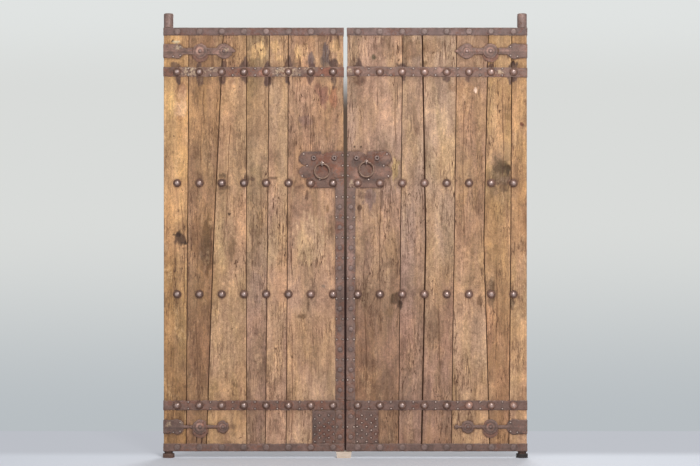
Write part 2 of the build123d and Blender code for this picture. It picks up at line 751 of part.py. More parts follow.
leaves = {
    "left": {"sign": -1, "widths": left_widths, "gaps": left_gaps, "ring_u": left_ring_u,
             "ring_rise": left_ring_rise, "strap_beside_plate": True, "bottom_tip": "diamond"},
    "right": {"sign": 1, "widths": right_widths, "gaps": right_gaps, "ring_u": right_ring_u,
              "ring_rise": right_ring_rise, "strap_beside_plate": False, "bottom_tip": "disc"},
}

for name, leaf in leaves.items():
    make_boards(leaf, name)
    make_battens(leaf, name)
    make_end_straps(leaf, name)
    make_stud_straps(leaf, name)
    make_edge_strap(leaf, name)
    make_lock_plate(leaf, name)
    make_corner_plate(leaf, name)
    make_ornament(leaf, f"{name}_top_ornament", top_ornament_z, top_neck_height,
                  top_lobe_reach, top_lobe_radius, top_tip_length, "leaf")
    make_ornament(leaf, f"{name}_bottom_ornament", bottom_ornament_z, bottom_neck_height,
                  bottom_lobe_reach, bottom_lobe_radius, bottom_tip_length, leaf["bottom_tip"])
    make_backing_discs(leaf, name)
    make_dome_studs(leaf, name)
    make_nails(leaf, name)
    make_tacks(leaf, name)
    make_bosses(leaf, name)
    make_ring_eye(leaf, name)
    make_ring_pull(leaf, name)
    make_top_pin_sleeve(leaf, name)
    make_bottom_pin_shoe(leaf, name)
    make_pivot_cup(leaf, name)

with BuildPart() as centre_block:
    block_top = leaf_bottom - block_clearance
    block_foot_half, block_top_half = block_foot_width / 2, block_top_width / 2
    outline = [(block_offset - block_foot_half, 0), (block_offset + block_foot_half, 0),
               (block_offset + block_top_half, block_top), (block_offset - block_top_half, block_top)]
    fill_outline(1, outline, -block_depth / 2, block_depth / 2)
save(centre_block.part, "centre_block")
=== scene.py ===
import math

import bpy
import numpy as np
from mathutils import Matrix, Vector


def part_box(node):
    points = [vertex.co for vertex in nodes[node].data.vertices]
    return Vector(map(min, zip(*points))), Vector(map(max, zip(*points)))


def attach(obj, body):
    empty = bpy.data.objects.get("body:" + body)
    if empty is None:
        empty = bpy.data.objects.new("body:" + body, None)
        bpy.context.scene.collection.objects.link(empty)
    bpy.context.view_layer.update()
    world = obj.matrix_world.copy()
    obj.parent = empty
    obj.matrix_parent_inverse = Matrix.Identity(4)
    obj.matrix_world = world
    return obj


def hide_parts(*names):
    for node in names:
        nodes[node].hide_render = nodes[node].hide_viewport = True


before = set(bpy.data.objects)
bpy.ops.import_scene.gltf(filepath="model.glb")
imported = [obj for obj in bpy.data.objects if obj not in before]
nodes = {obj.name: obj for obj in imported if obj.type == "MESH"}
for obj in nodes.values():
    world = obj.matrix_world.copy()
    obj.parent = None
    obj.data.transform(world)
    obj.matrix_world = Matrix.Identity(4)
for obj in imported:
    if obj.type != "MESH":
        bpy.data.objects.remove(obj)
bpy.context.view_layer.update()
sideSigns = {"left": -1, "right": 1}
print("frame loaded")


def cadPoints(name):
    mesh = nodes[name].data
    flat = np.empty(len(mesh.vertices) * 3, np.float32)
    mesh.vertices.foreach_get("co", flat)
    return flat.reshape(-1, 3).astype(float)


def cadTriangles(name):
    mesh = nodes[name].data
    mesh.calc_loop_triangles()
    flat = np.empty(len(mesh.loop_triangles) * 3, np.int32)
    mesh.loop_triangles.foreach_get("vertices", flat)
    return flat.reshape(-1, 3)


def faceOutlines(name, depth, smallest=2e-4):
    # closed outlines, as x and z, of the flat faces that a CAD node has at this depth; bores are left out
    points = cadPoints(name)
    flat = np.abs(points[:, 1] - depth) < 3e-5
    triangles = cadTriangles(name)
    triangles = triangles[flat[triangles].all(axis=1)]
    keys = {}
    index = [keys.setdefault((round(x * 2e4), round(z * 2e4)), len(keys)) for x, _, z in points]
    places = np.zeros((len(keys), 2))
    places[index] = points[:, [0, 2]]
    directed = set()
    for a, b, c in triangles:
        for start, end in ((a, b), (b, c), (c, a)):
            directed.add((index[start], index[end]))
    nextPoint = {start: end for start, end in directed if (end, start) not in directed}
    outlines = []
    while nextPoint:
        start = next(iter(nextPoint))
        loop, here = [], start
        while here in nextPoint:
            loop.append(here)
            here = nextPoint.pop(here)
        line = places[loop]
        area = 0.5 * abs(np.dot(line[:, 0], np.roll(line[:, 1], 1)) - np.dot(line[:, 1], np.roll(line[:, 0], 1)))
        if area > smallest:
            outlines.append((area, line))
    return [line for area, line in sorted(outlines, key=lambda entry: -entry[0])]


def lattice(ix, iy, iz, seed):
    with np.errstate(over="ignore"):
        mixed = (ix.astype(np.uint32) * np.uint32(374761393) + iy.astype(np.uint32) * np.uint32(668265263)
                 + iz.astype(np.uint32) * np.uint32(2246822519) + np.uint32(seed) * np.uint32(3266489917))
        mixed = (mixed ^ (mixed >> np.uint32(13))) * np.uint32(1274126177)
        mixed = mixed ^ (mixed >> np.uint32(16))
    return mixed.astype(float) / 4294967295.0


def noise(x, y, seed, z=None):
    # smooth noise from -1 to 1
    x, y = np.broadcast_arrays(np.asarray(x, float), np.asarray(y, float))
    z = np.zeros_like(x) if z is None else np.broadcast_to(np.asarray(z, float), x.shape)
    cells = [np.floor(v).astype(np.int64) for v in (x, y, z)]
    shares = [v - c for v, c in zip((x, y, z), cells)]
    ease = [s * s * s * (s * (s * 6 - 15) + 10) for s in shares]
    total = np.zeros_like(x)
    for i in (0, 1):
        for j in (0, 1):
            for k in (0, 1):
                weight = ((ease[0] if i else 1 - ease[0]) * (ease[1] if j else 1 - ease[1])
                          * (ease[2] if k else 1 - ease[2]))
                total += weight * lattice(cells[0] + i, cells[1] + j, cells[2] + k, seed)
    return total * 2 - 1


def layered(x, y, seed, layers=3):
    total, share = 0, 1.0
    for layer in range(layers):
        total = total + share * noise(x * 2 ** layer, y * 2 ** layer, seed + 17 * layer)
        share *= 0.5
    return total


def fullTurn(count):
    return np.linspace(0, 2 * math.pi, count + 1)[:-1]


def rise(low, high, value):
    share = np.clip((value - low) / (high - low), 0, 1)
    return share * share * (3 - 2 * share)


def linear(red, green, blue):
    # a colour written as it looks on screen, 0 to 255, for the renderer
    return np.array([((c / 255 + 0.055) / 1.055) ** 2.4 if c > 10 else c / 255 / 12.92 for c in (red, green, blue)])


def joinParts(parts):
    # several (points, faces, attributes) become one; faces are lists of index arrays
    points, faces, values, start = [], [], {}, 0
    for partPoints, partFaces, partValues in parts:
        points.append(partPoints)
        faces += [group + start for group in partFaces]
        for key, value in partValues.items():
            values.setdefault(key, []).append(value)
        start += len(partPoints)
    return np.concatenate(points), faces, {key: np.concatenate(value) for key, value in values.items()}


def facesOutward(points, faces):
    # turns the faces of a closed part round if they point inwards
    volume = 0.0
    for group in faces:
        for k in range(1, group.shape[1] - 1):
            a, b, c = points[group[:, 0]], points[group[:, k]], points[group[:, k + 1]]
            volume += np.einsum("ij,ij->i", a, np.cross(b, c)).sum()
    return faces if volume > 0 else [group[:, ::-1] for group in faces]


def makePiece(name, points, faces, values, material, smooth=True):
    mesh = bpy.data.meshes.new(name)
    mesh.vertices.add(len(points))
    mesh.vertices.foreach_set("co", points.astype(np.float32).ravel())
    corners = np.concatenate([group.ravel() for group in faces]).astype(np.int32)
    sizes = np.concatenate([np.full(len(group), group.shape[1]) for group in faces])
    mesh.loops.add(len(corners))
    mesh.loops.foreach_set("vertex_index", corners)
    mesh.polygons.add(len(sizes))
    mesh.polygons.foreach_set("loop_start", np.concatenate([[0], np.cumsum(sizes)[:-1]]).astype(np.int32))
    mesh.update(calc_edges=True)
    mesh.validate()
    mesh.polygons.foreach_set("use_smooth", np.full(len(mesh.polygons), smooth))
    for key, value in values.items():
        if value.ndim == 2:
            layer = mesh.attributes.new(key, "FLOAT_COLOR", "POINT")
            colour = np.ones((len(value), 4), np.float32)
            colour[:, :3] = value
            layer.data.foreach_set("color", colour.ravel())
        else:
            layer = mesh.attributes.new(key, "FLOAT", "POINT")
            layer.data.foreach_set("value", value.astype(np.float32))
    mesh.materials.append(material)
    piece = bpy.data.objects.new(name, mesh)
    bpy.context.scene.collection.objects.link(piece)
    return piece


def giveTo(piece, body, slotName, *replaced):
    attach(piece, body)
    if replaced:
        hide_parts(*replaced)
    return piece


def gridFaces(rows, columns):
    # quads over a grid of points whose last column joins the first
    i, j = np.meshgrid(np.arange(rows - 1), np.arange(columns), indexing="ij")
    after = (j + 1) % columns
    return np.stack([i * columns + j, i * columns + after, (i + 1) * columns + after, (i + 1) * columns + j],
                    axis=-1).reshape(-1, 4)


def tubeFaces(rows, segments, closed):
    # a tube of rings, closed to one ring or by a fan to a middle point at each end
    k, last = np.arange(segments), (rows - 1) * segments
    after, hub = (k + 1) % segments, rows * segments
    if closed:
        return [gridFaces(rows, segments), np.stack([last + k, last + after, after, k], axis=-1)]
    return [gridFaces(rows, segments), np.stack([after, k, np.full(segments, hub)], axis=-1),
            np.stack([last + k, last + after, np.full(segments, hub + 1)], axis=-1)]


def newGroup(name, inputs):
    # a number stands for a value with that default, and None for a vector
    group = bpy.data.node_groups.new(name, "ShaderNodeTree")
    for key, value in inputs.items():
        kind = "NodeSocketVector" if value is None else "NodeSocketFloat"
        socket = group.interface.new_socket(key, in_out="INPUT", socket_type=kind)
        if value is not None:
            socket.default_value = value
    return group, group.nodes.new("NodeGroupInput").outputs


def finishGroup(group, **values):
    for key in values:
        group.interface.new_socket(key, in_out="OUTPUT", socket_type="NodeSocketFloat")
    end = group.nodes.new("NodeGroupOutput")
    for key, value in values.items():
        group.links.new(value, end.inputs[key])
    return group


def feed(tree, socket, value):
    # an input is a value or another node's output
    if isinstance(value, bpy.types.NodeSocket):
        tree.links.new(value, socket)
    else:
        socket.default_value = value


def addNode(tree, kind, settings=None, **inputs):
    # inputs go by their names, or as i0, i1 and so on by their places
    node = tree.nodes.new(kind)
    for key, value in (settings or {}).items():
        setattr(node, key, value)
    for key, value in inputs.items():
        feed(tree, node.inputs[int(key[1:])] if key[0] == "i" and key[1:].isdigit() else node.inputs[key], value)
    return node


def maths(tree, operation, a, b=0.0, c=0.0, clamp=False):
    return addNode(tree, "ShaderNodeMath", {"operation": operation, "use_clamp": clamp}, i0=a, i1=b, i2=c).outputs[0]


def times(tree, a, b, clamp=False):
    return maths(tree, "MULTIPLY", a, b, clamp=clamp)


def vectorMaths(tree, operation, a, b):
    return addNode(tree, "ShaderNodeVectorMath", {"operation": operation}, i0=a, i1=b).outputs[0]


def scaled(tree, vector, size):
    return addNode(tree, "ShaderNodeVectorMath", {"operation": "SCALE"}, i0=vector, Scale=size).outputs[0]


def apart(tree, vector):
    return addNode(tree, "ShaderNodeSeparateXYZ", i0=vector).outputs


def together(tree, x, y=0.0, z=0.0):
    return addNode(tree, "ShaderNodeCombineXYZ", i0=x, i1=y, i2=z).outputs[0]


def mixColour(tree, share, a, b, kind="MIX"):
    node = addNode(tree, "ShaderNodeMix", {"data_type": "RGBA", "blend_type": kind, "clamp_factor": True})
    for place, value in ((0, share), (6, a), (7, b)):
        plain = isinstance(value, (float, bpy.types.NodeSocket))
        feed(tree, node.inputs[place], value if plain else (*value, 1.0)[:4])
    return node.outputs[2]


def multiplied(tree, share, colour, tone):
    # by another colour or by a grey
    return mixColour(tree, share, colour, (tone,) * 3 if isinstance(tone, float) else tone, "MULTIPLY")


def ramp(tree, value, low, high):
    smooth = {"interpolation_type": "SMOOTHSTEP"}
    return addNode(tree, "ShaderNodeMapRange", smooth, i0=value, i1=low, i2=high).outputs[0]


def stretched(tree, vector, scale):
    return vectorMaths(tree, "MULTIPLY", vector, scale)


def noiseNode(tree, vector, scale, detail=3.0, rough=0.55, distortion=0.0):
    return addNode(tree, "ShaderNodeTexNoise", Vector=vector, Scale=scale, Detail=detail, Roughness=rough,
                   Distortion=distortion).outputs["Fac"]


def makeGrainGroup():
    # wood grain that runs along one axis: fine lines, wide streaks, open pores and flecks
    group, source = newGroup("weatheredGrain", {"Position": None, "Shift": 0.0})
    moved = vectorMaths(group, "ADD", source["Position"], together(group, *[source["Shift"]] * 3))
    wander = noiseNode(group, stretched(group, moved, (2.2, 2.2, 0.9)), 1.5, 2.0)
    bent = vectorMaths(group, "ADD", moved, together(group, times(group, wander, 0.05)))
    fine = noiseNode(group, stretched(group, bent, (1.0, 1.0, 0.022)), 420.0, 3.0, 0.6)
    broad = noiseNode(group, stretched(group, bent, (1.0, 1.0, 0.03)), 75.0, 4.0, 0.55, 0.3)
    pores = noiseNode(group, stretched(group, bent, (1.0, 1.0, 0.05)), 900.0, 2.0, 0.5)
    height = maths(group, "SUBTRACT", maths(group, "MULTIPLY_ADD", fine, 0.6, broad), times(group, pores, 0.25))
    return finishGroup(group, Lines=ramp(group, fine, 0.36, 0.68), Streaks=ramp(group, broad, 0.34, 0.66),
                       Pores=ramp(group, pores, 0.60, 0.72), Height=height)


def makeRustGroup():
    # old rust: clouds of colour, crusty blooms, pits and a fine grit
    group, source = newGroup("oldRust", {"Position": None, "Amount": 0.5, "Coarseness": 1.0})
    place = scaled(group, source["Position"], source["Coarseness"])
    cloud = noiseNode(group, place, 16.0, 5.0, 0.62, 0.4)
    bloom = noiseNode(group, place, 55.0, 5.0, 0.65, 0.8)
    grit = noiseNode(group, place, 420.0, 3.0, 0.6)
    pit = addNode(group, "ShaderNodeTexVoronoi", {"feature": "F1"}, Vector=place, Scale=150.0).outputs["Distance"]
    pits = times(group, ramp(group, pit, 0.34, 0.12), ramp(group, bloom, 0.42, 0.6))
    reach = maths(group, "SUBTRACT", 0.74, times(group, source["Amount"], 0.42))
    height = maths(group, "MULTIPLY_ADD", bloom, 0.8, times(group, grit, 0.35))
    return finishGroup(group, Cloud=ramp(group, cloud, 0.34, 0.66),
                       Bloom=ramp(group, bloom, reach, maths(group, "ADD", reach, 0.12)), Pits=pits, Grit=grit,
                       Height=maths(group, "SUBTRACT", height, times(group, pits, 0.7)))


def makeDustGroup():
    # pale dust, thicker on what faces up and in broken patches
    group, source = newGroup("settledDust", {"Position": None, "Amount": 0.3})
    up = apart(group, addNode(group, "ShaderNodeNewGeometry").outputs["Normal"])[2]
    lying = maths(group, "ADD", times(group, up, 0.6), noiseNode(group, source["Position"], 30.0, 4.0, 0.6))
    return finishGroup(group, Mask=times(group, ramp(group, lying, 0.35, 1.05), source["Amount"], clamp=True))


grainGroup, rustGroup, dustGroup = makeGrainGroup(), makeRustGroup(), makeDustGroup()


def startMaterial(name, roughness=0.8, metallic=0.0, specular=0.5):
    material = bpy.data.materials.new(name)
    material.use_nodes = True
    tree = material.node_tree
    shader = tree.nodes["Principled BSDF"]
    shader.inputs["Roughness"].default_value = roughness
    shader.inputs["Metallic"].default_value = metallic
    shader.inputs["Specular IOR Level"].default_value = specular
    position = addNode(tree, "ShaderNodeTexCoord").outputs["Object"]
    return material, tree, shader, position


def placeGroup(tree, group, position, **values):
    return addNode(tree, "ShaderNodeGroup", {"node_tree": group}, Position=position, **values).outputs


def readAttribute(tree, name, colour=False):
    node = addNode(tree, "ShaderNodeAttribute", {"attribute_name": name})
    return node.outputs["Color" if colour else "Fac"]


def addBump(tree, shader, height, strength, distance):
    bump = addNode(tree, "ShaderNodeBump", Height=height, Strength=strength, Distance=distance)
    feed(tree, shader.inputs["Normal"], bump.outputs["Normal"])


woodLook = {"bare": (1.22, 1.21, 1.16), "grime": (0.80, 0.78, 0.78), "mottle": (0.70, 1.28), "stipple": (0.84, 1.17),
            "grit": (0.84, 1.15), "lineDark": 0.86, "streakDark": 0.86, "poreDark": 0.74, "speckDark": 0.55,
            "crack": (84, 54, 38), "spot": (92, 62, 44), "rust": (88, 60, 48), "flake": (216, 182, 142),
            "dustTone": (190, 172, 150), "bump": 0.6, "bumpDepth": 0.0014, "dust": 0.06}
woodNoises = {  # stretch along the grain, scale, detail, roughness, distortion
    "cloud": (0.3, 7.0, 3.0, 0.6, 0.5), "patch": (0.45, 13.0, 6.0, 0.68, 0.9), "mottle": (0.75, 62.0, 5.0, 0.72, 0.5),
    "stipple": (0.9, 115.0, 3.0, 0.6, 0.3), "grit": (0.8, 260.0, 2.0, 0.6), "speck": (0.5, 140.0, 3.0, 0.6),
    "spot": (0.75, 50.0, 4.0, 0.62, 0.4),
}


def makeWoodMaterial(name, turned=False):
    # paint is the board's own colour with its stains; marks hold cracks, rust with painted shade round the iron, and
    # pale flakes
    look = woodLook
    material, tree, shader, position = startMaterial(name, 0.78, 0.0, 0.3)
    if turned:  # grain along X
        x, y, z = apart(tree, position)
        position = together(tree, z, y, x)
    shift = readAttribute(tree, "shift")
    grain = placeGroup(tree, grainGroup, position, Shift=shift)
    crack, rust, pale = addNode(tree, "ShaderNodeSeparateColor", i0=readAttribute(tree, "marks", True)).outputs
    moved = vectorMaths(tree, "ADD", position, together(tree, 0.0, shift, times(tree, shift, 1.7)))

    def alongGrain(stretch, *noiseValues):
        return noiseNode(tree, stretched(tree, moved, (1.0, 1.0, stretch)), *noiseValues)

    def lines(stretch, scale, width, clusters):
        ridge = maths(tree, "ABSOLUTE", maths(tree, "SUBTRACT", alongGrain(stretch, scale, 3.0, 0.55, 0.3), 0.5))
        return times(tree, ramp(tree, ridge, width, width * 0.35), clusters)

    found = {key: alongGrain(*values) for key, values in woodNoises.items()}
    colour = mixColour(tree, ramp(tree, found["cloud"], 0.36, 0.64), (0.95, 0.95, 0.84), (1.03, 1.0, 1.0))
    colour = multiplied(tree, 1.0, readAttribute(tree, "paint", True), colour)
    bare = maths(tree, "MULTIPLY_ADD", pale, 0.14, found["patch"])
    colour = multiplied(tree, ramp(tree, bare, 0.53, 0.58), colour, look["bare"])
    colour = multiplied(tree, ramp(tree, found["patch"], 0.47, 0.42), colour, look["grime"])
    for key in ("mottle", "stipple", "grit"):
        low, high = look[key]
        shade = addNode(tree, "ShaderNodeMapRange", i0=found[key], i1=0.28, i2=0.72, i3=low, i4=high).outputs[0]
        colour = scaled(tree, colour, shade)
    for key, value in (("Streaks", "streakDark"), ("Lines", "lineDark"), ("Pores", "poreDark")):
        colour = multiplied(tree, grain[key], colour, look[value])
    colour = multiplied(tree, ramp(tree, found["speck"], 0.63, 0.72), colour, look["speckDark"])
    colour = mixColour(tree, times(tree, ramp(tree, found["spot"], 0.65, 0.71), 0.8), colour, linear(*look["spot"]))
    flake = times(tree, pale, ramp(tree, found["mottle"], 0.42, 0.60), clamp=True)
    colour = mixColour(tree, times(tree, flake, 0.7), colour, linear(*look["flake"]))
    # the rust mark also carries painted shade round the heads and along the iron's edges
    patchy = maths(tree, "MULTIPLY_ADD", ramp(tree, found["mottle"], 0.3, 0.62), 0.7, 0.3)
    colour = mixColour(tree, times(tree, rust, patchy, clamp=True), colour, linear(*look["rust"]))
    hair = lines(0.07, 95.0, 0.030, ramp(tree, alongGrain(0.5, 9.0, 2.0, 0.5), 0.48, 0.60))
    wide = lines(0.09, 36.0, 0.014, ramp(tree, alongGrain(0.4, 5.0, 2.0, 0.5), 0.52, 0.60))
    seam = times(tree, crack, maths(tree, "MULTIPLY_ADD", grain["Lines"], 0.35, 0.75), clamp=True)
    deep = maths(tree, "MAXIMUM", maths(tree, "MAXIMUM", times(tree, hair, 0.75), wide), seam)
    colour = mixColour(tree, deep, colour, linear(*look["crack"]))
    dust = placeGroup(tree, dustGroup, position, Amount=look["dust"])
    colour = mixColour(tree, dust["Mask"], colour, linear(*look["dustTone"]))
    feed(tree, shader.inputs["Base Color"], colour)
    feed(tree, shader.inputs["Roughness"], maths(tree, "MULTIPLY_ADD", grain["Streaks"], 0.14, 0.68))
    height = maths(tree, "MULTIPLY_ADD", found["patch"], 1.6, grain["Height"])
    addBump(tree, shader, maths(tree, "SUBTRACT", height, times(tree, deep, 0.8)), look["bump"], look["bumpDepth"])
    return material


ironLook = {"dark": 0.60, "scuff": 1.42, "blot": 0.62, "grit": 1.5, "pit": (44, 29, 26), "flake": (186, 160, 130),
            "dust": (176, 158, 146), "bump": 0.6, "bumpDepth": 0.0012}


def makeIronMaterial(name, base, rust, bright, roughness, metallic, coarseness, dustAmount, rustAmount, plain):
    # marks hold worn edges and the heads' crowns, which take a painted highlight as well as wear, rust, which on the
    # heads' rims is partly painted shade, and pale corrosion; plain is for a node that has neither marks nor paint
    look, base = ironLook, linear(*base)
    material, tree, shader, position = startMaterial(name, roughness, metallic, 0.5)
    wearAndHighlight, rusty, pale = addNode(tree, "ShaderNodeSeparateColor", i0=readAttribute(tree, "marks", True)).outputs
    amount = maths(tree, "ADD", rusty, rustAmount, clamp=True)
    old = placeGroup(tree, rustGroup, position, Amount=amount, Coarseness=coarseness)
    scuff = noiseNode(tree, position, 62.0 * coarseness, 5.0, 0.68, 0.5)
    colour = mixColour(tree, old["Cloud"], base, base * look["dark"])
    colour = mixColour(tree, times(tree, old["Bloom"], 0.75), colour, linear(*rust))
    colour = multiplied(tree, 1.0, colour, 1.0 if plain else readAttribute(tree, "paint", True))
    colour = multiplied(tree, ramp(tree, scuff, 0.54, 0.66), colour, look["scuff"])
    colour = multiplied(tree, ramp(tree, scuff, 0.45, 0.34), colour, look["blot"])
    colour = mixColour(tree, times(tree, ramp(tree, old["Grit"], 0.35, 0.75), 0.35), colour, base * look["grit"])
    # edges and crowns take the bright colour: wear and painted highlight
    wearAndHighlight = times(tree, wearAndHighlight, ramp(tree, old["Grit"], 0.3, 0.6), clamp=True)
    colour = mixColour(tree, times(tree, wearAndHighlight, 0.6), colour, linear(*bright))
    pale = times(tree, pale, ramp(tree, scuff, 0.42, 0.58), clamp=True)
    colour = mixColour(tree, pale, colour, linear(*look["flake"]))
    colour = mixColour(tree, times(tree, old["Pits"], 0.8), colour, linear(*look["pit"]))
    dust = placeGroup(tree, dustGroup, position, Amount=dustAmount)
    feed(tree, shader.inputs["Base Color"], mixColour(tree, dust["Mask"], colour, linear(*look["dust"])))
    rough = maths(tree, "MULTIPLY_ADD", old["Bloom"], 0.22, roughness, clamp=True)
    feed(tree, shader.inputs["Roughness"], maths(tree, "MULTIPLY_ADD", dust["Mask"], 0.25, rough, clamp=True))
    clean = maths(tree, "MULTIPLY_ADD", old["Bloom"], -0.8, 1.0)
    feed(tree, shader.inputs["Metallic"], times(tree, clean, metallic, clamp=True))
    addBump(tree, shader, old["Height"], look["bump"], look["bumpDepth"])
    return material


boardMaterial = makeWoodMaterial("weatheredBoard")
battenMaterial = makeWoodMaterial("battenWood", turned=True)


def makeBlockMaterial():
    # newly sawn pale wood, grain along X
    material, tree, shader, position = startMaterial("paleBlockWood", 0.8, 0.0, 0.2)
    grain = noiseNode(tree, stretched(tree, position, (0.06, 1.0, 1.0)), 380.0, 3.0, 0.6)
    colour = mixColour(tree, ramp(tree, grain, 0.35, 0.7), linear(206, 189, 173), linear(186, 166, 147))
    feed(tree, shader.inputs["Base Color"], colour)
    addBump(tree, shader, grain, 0.4, 0.0006)
    return material


blockMaterial = makeBlockMaterial()
ironKinds = {  # base, rust and bright colours, roughness, metallic, coarseness, dust, rust, and whether it is plain
    "rustedStrapIron": ((120, 92, 80), (118, 76, 58), (186, 160, 146), 0.60, 0.12, 1.0, 0.12, 0.45, False),
    # on the studs the bright colour is a painted highlight on the crown and the dark rust colour a painted shade at the
    # rim, partly rust
    "wornStudIron": ((128, 97, 84), (66, 44, 37), (214, 192, 184), 0.24, 0.25, 1.0, 0.05, 0.10, False),
    "flatNailIron": ((122, 98, 90), (112, 76, 60), (168, 146, 136), 0.5, 0.2, 1.2, 0.12, 0.3, False),
    # the tacks' light base and near-white bright colour are partly a painted highlight
    "tackIron": ((178, 152, 138), (140, 106, 90), (250, 240, 230), 0.30, 0.15, 1.5, 0.05, 0.10, False),
    "ringIron": ((128, 99, 82), (112, 76, 58), (184, 156, 132), 0.40, 0.3, 1.5, 0.08, 0.25, False),
    "eyeIron": ((168, 146, 136), (126, 88, 70), (240, 228, 220), 0.36, 0.4, 1.5, 0.1, 0.15, False),
    "pinSleeveIron": ((132, 105, 96), (120, 82, 64), (186, 160, 146), 0.55, 0.15, 1.0, 0.3, 0.45, True),
    "pinShoeIron": ((84, 60, 50), (100, 62, 44), (150, 124, 108), 0.6, 0.2, 1.2, 0.1, 0.5, True),
    "brownCupIron": ((104, 76, 64), (100, 66, 50), (186, 160, 146), 0.6, 0.15, 1.2, 0.1, 0.4, True),
    "darkCupIron": ((50, 44, 42), (70, 50, 42), (110, 100, 96), 0.6, 0.3, 1.2, 0.1, 0.3, True),
}
irons = {kind: makeIronMaterial(kind, *values) for kind, values in ironKinds.items()}
print("materials made")


lowStrap, highStrap, plainBoard = (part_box(f"right_{name}") for name in ("bottom_strap", "top_strap", "second_board"))
leafHalf = lowStrap[1].x
footMeet, footLevel = lowStrap[0].x, lowStrap[0].z
headMeet, headMeetLevel = highStrap[0].x, highStrap[0].z
woodFoot, woodHead = plainBoard[0].z, plainBoard[1].z
woodLevels = [woodFoot, (woodFoot + woodHead) / 2, woodHead]
boardFront, boardBack = plainBoard[0].y, plainBoard[1].y
ironFront, ironBack = lowStrap[0].y, lowStrap[1].y
ironThickness = boardFront - ironFront


def outlineField(line, x, z):
    # distance to a closed outline, positive inside
    nearest, inside = np.full(x.shape, 1e9), np.zeros(x.shape, bool)
    for (x0, z0), (x1, z1) in zip(line, np.roll(line, -1, axis=0)):
        dx, dz = x1 - x0, z1 - z0
        share = np.clip(((x - x0) * dx + (z - z0) * dz) / max(dx * dx + dz * dz, 1e-12), 0, 1)
        nearest = np.minimum(nearest, (x - x0 - share * dx) ** 2 + (z - z0 - share * dz) ** 2)
        if z0 != z1:
            inside ^= ((z0 > z) != (z1 > z)) & (x < dx * (z - z0) / dz + x0)
    return np.where(inside, 1, -1) * np.sqrt(nearest)


def meetAt(z):
    return footMeet + (headMeet - footMeet) * (z - footLevel) / (headMeetLevel - footLevel)


def headSpots(name, reach):
    # x, z, top, seat and radius of each round head in a CAD node of heads
    points = cadPoints(name)
    rest = points[points[:, 1] < boardFront + 1e-4]
    spots = []
    while len(rest):
        top = rest[np.argmin(rest[:, 1])]
        near = np.hypot(rest[:, 0] - top[0], rest[:, 2] - top[2]) < reach
        group = rest[near]
        x, z = (group[:, 0].min() + group[:, 0].max()) / 2, (group[:, 2].min() + group[:, 2].max()) / 2
        away = np.hypot(group[:, 0] - x, group[:, 2] - z)
        rim = group[away > 0.97 * away.max()]
        if len(group) > 8:
            spots.append((x, z, top[1], rim[:, 1].max(), away.max()))
        rest = rest[~near]
    return spots


headReach = {"dome_studs": 0.03, "nails": 0.034, "tacks": 0.009, "bosses": 0.04}  # no two heads stand so near
heads = {side: {kind: headSpots(f"{side}_{kind}", reach) for kind, reach in headReach.items()} for side in sideSigns}
print("domes", {side: len(spots["dome_studs"]) for side, spots in heads.items()})


boardOrder = ["hanging_stile", "second_board", "third_board", "fourth_board", "fifth_board", "meeting_board"]
wood = {"columnStep": 0.003, "stationStep": 0.008, "edgeColumns": [0.0, 0.0009, 0.0021], "edgeClear": 0.0035,
        "wobble": 0.0008, "arris": 0.0022, "fissure": 0.0010, "cup": 0.0007, "grooveStart": 0.008, "seamLeft": 0.00015,
        "sideDepths": [0.004, 0.009, 0.02, 0.04, 0.052], "backColumns": 14, "backTone": (150, 118, 92),
        "pinTone": (150, 116, 88)}
# sizes of the rust and painted shade laid on the boards round the iron
rustAndShadeLook = {"head": 0.025, "headFade": 0.006, "outline": 0.0055, "outlineFade": 0.016, "outlineReach": 0.05,
            "edgeStrap": 0.054, "edgeFade": 0.008}
woodTints = {
    "left_hanging_stile": ((192, 150, 110), (158, 122, 86)),  # at the head and at the foot
    "left_second_board": ((163, 126, 97), (146, 111, 85)),
    "left_third_board": ((181, 143, 113), (184, 147, 115)),
    "left_fourth_board": ((163, 132, 102), (159, 127, 111)),
    "left_fifth_board": ((177, 142, 116), (187, 148, 120)),
    "left_meeting_board": ((169, 132, 106), (181, 145, 120)),
    "right_hanging_stile": ((173, 133, 97), (196, 155, 122)),
    "right_second_board": ((176, 139, 103), (171, 131, 103)),
    "right_third_board": ((165, 130, 105), (186, 150, 120)),
    "right_fourth_board": ((182, 150, 124), (157, 122, 102)),
    "right_fifth_board": ((170, 140, 119), (157, 123, 107)),
    "right_meeting_board": ((173, 140, 119), (144, 110, 90)),
}
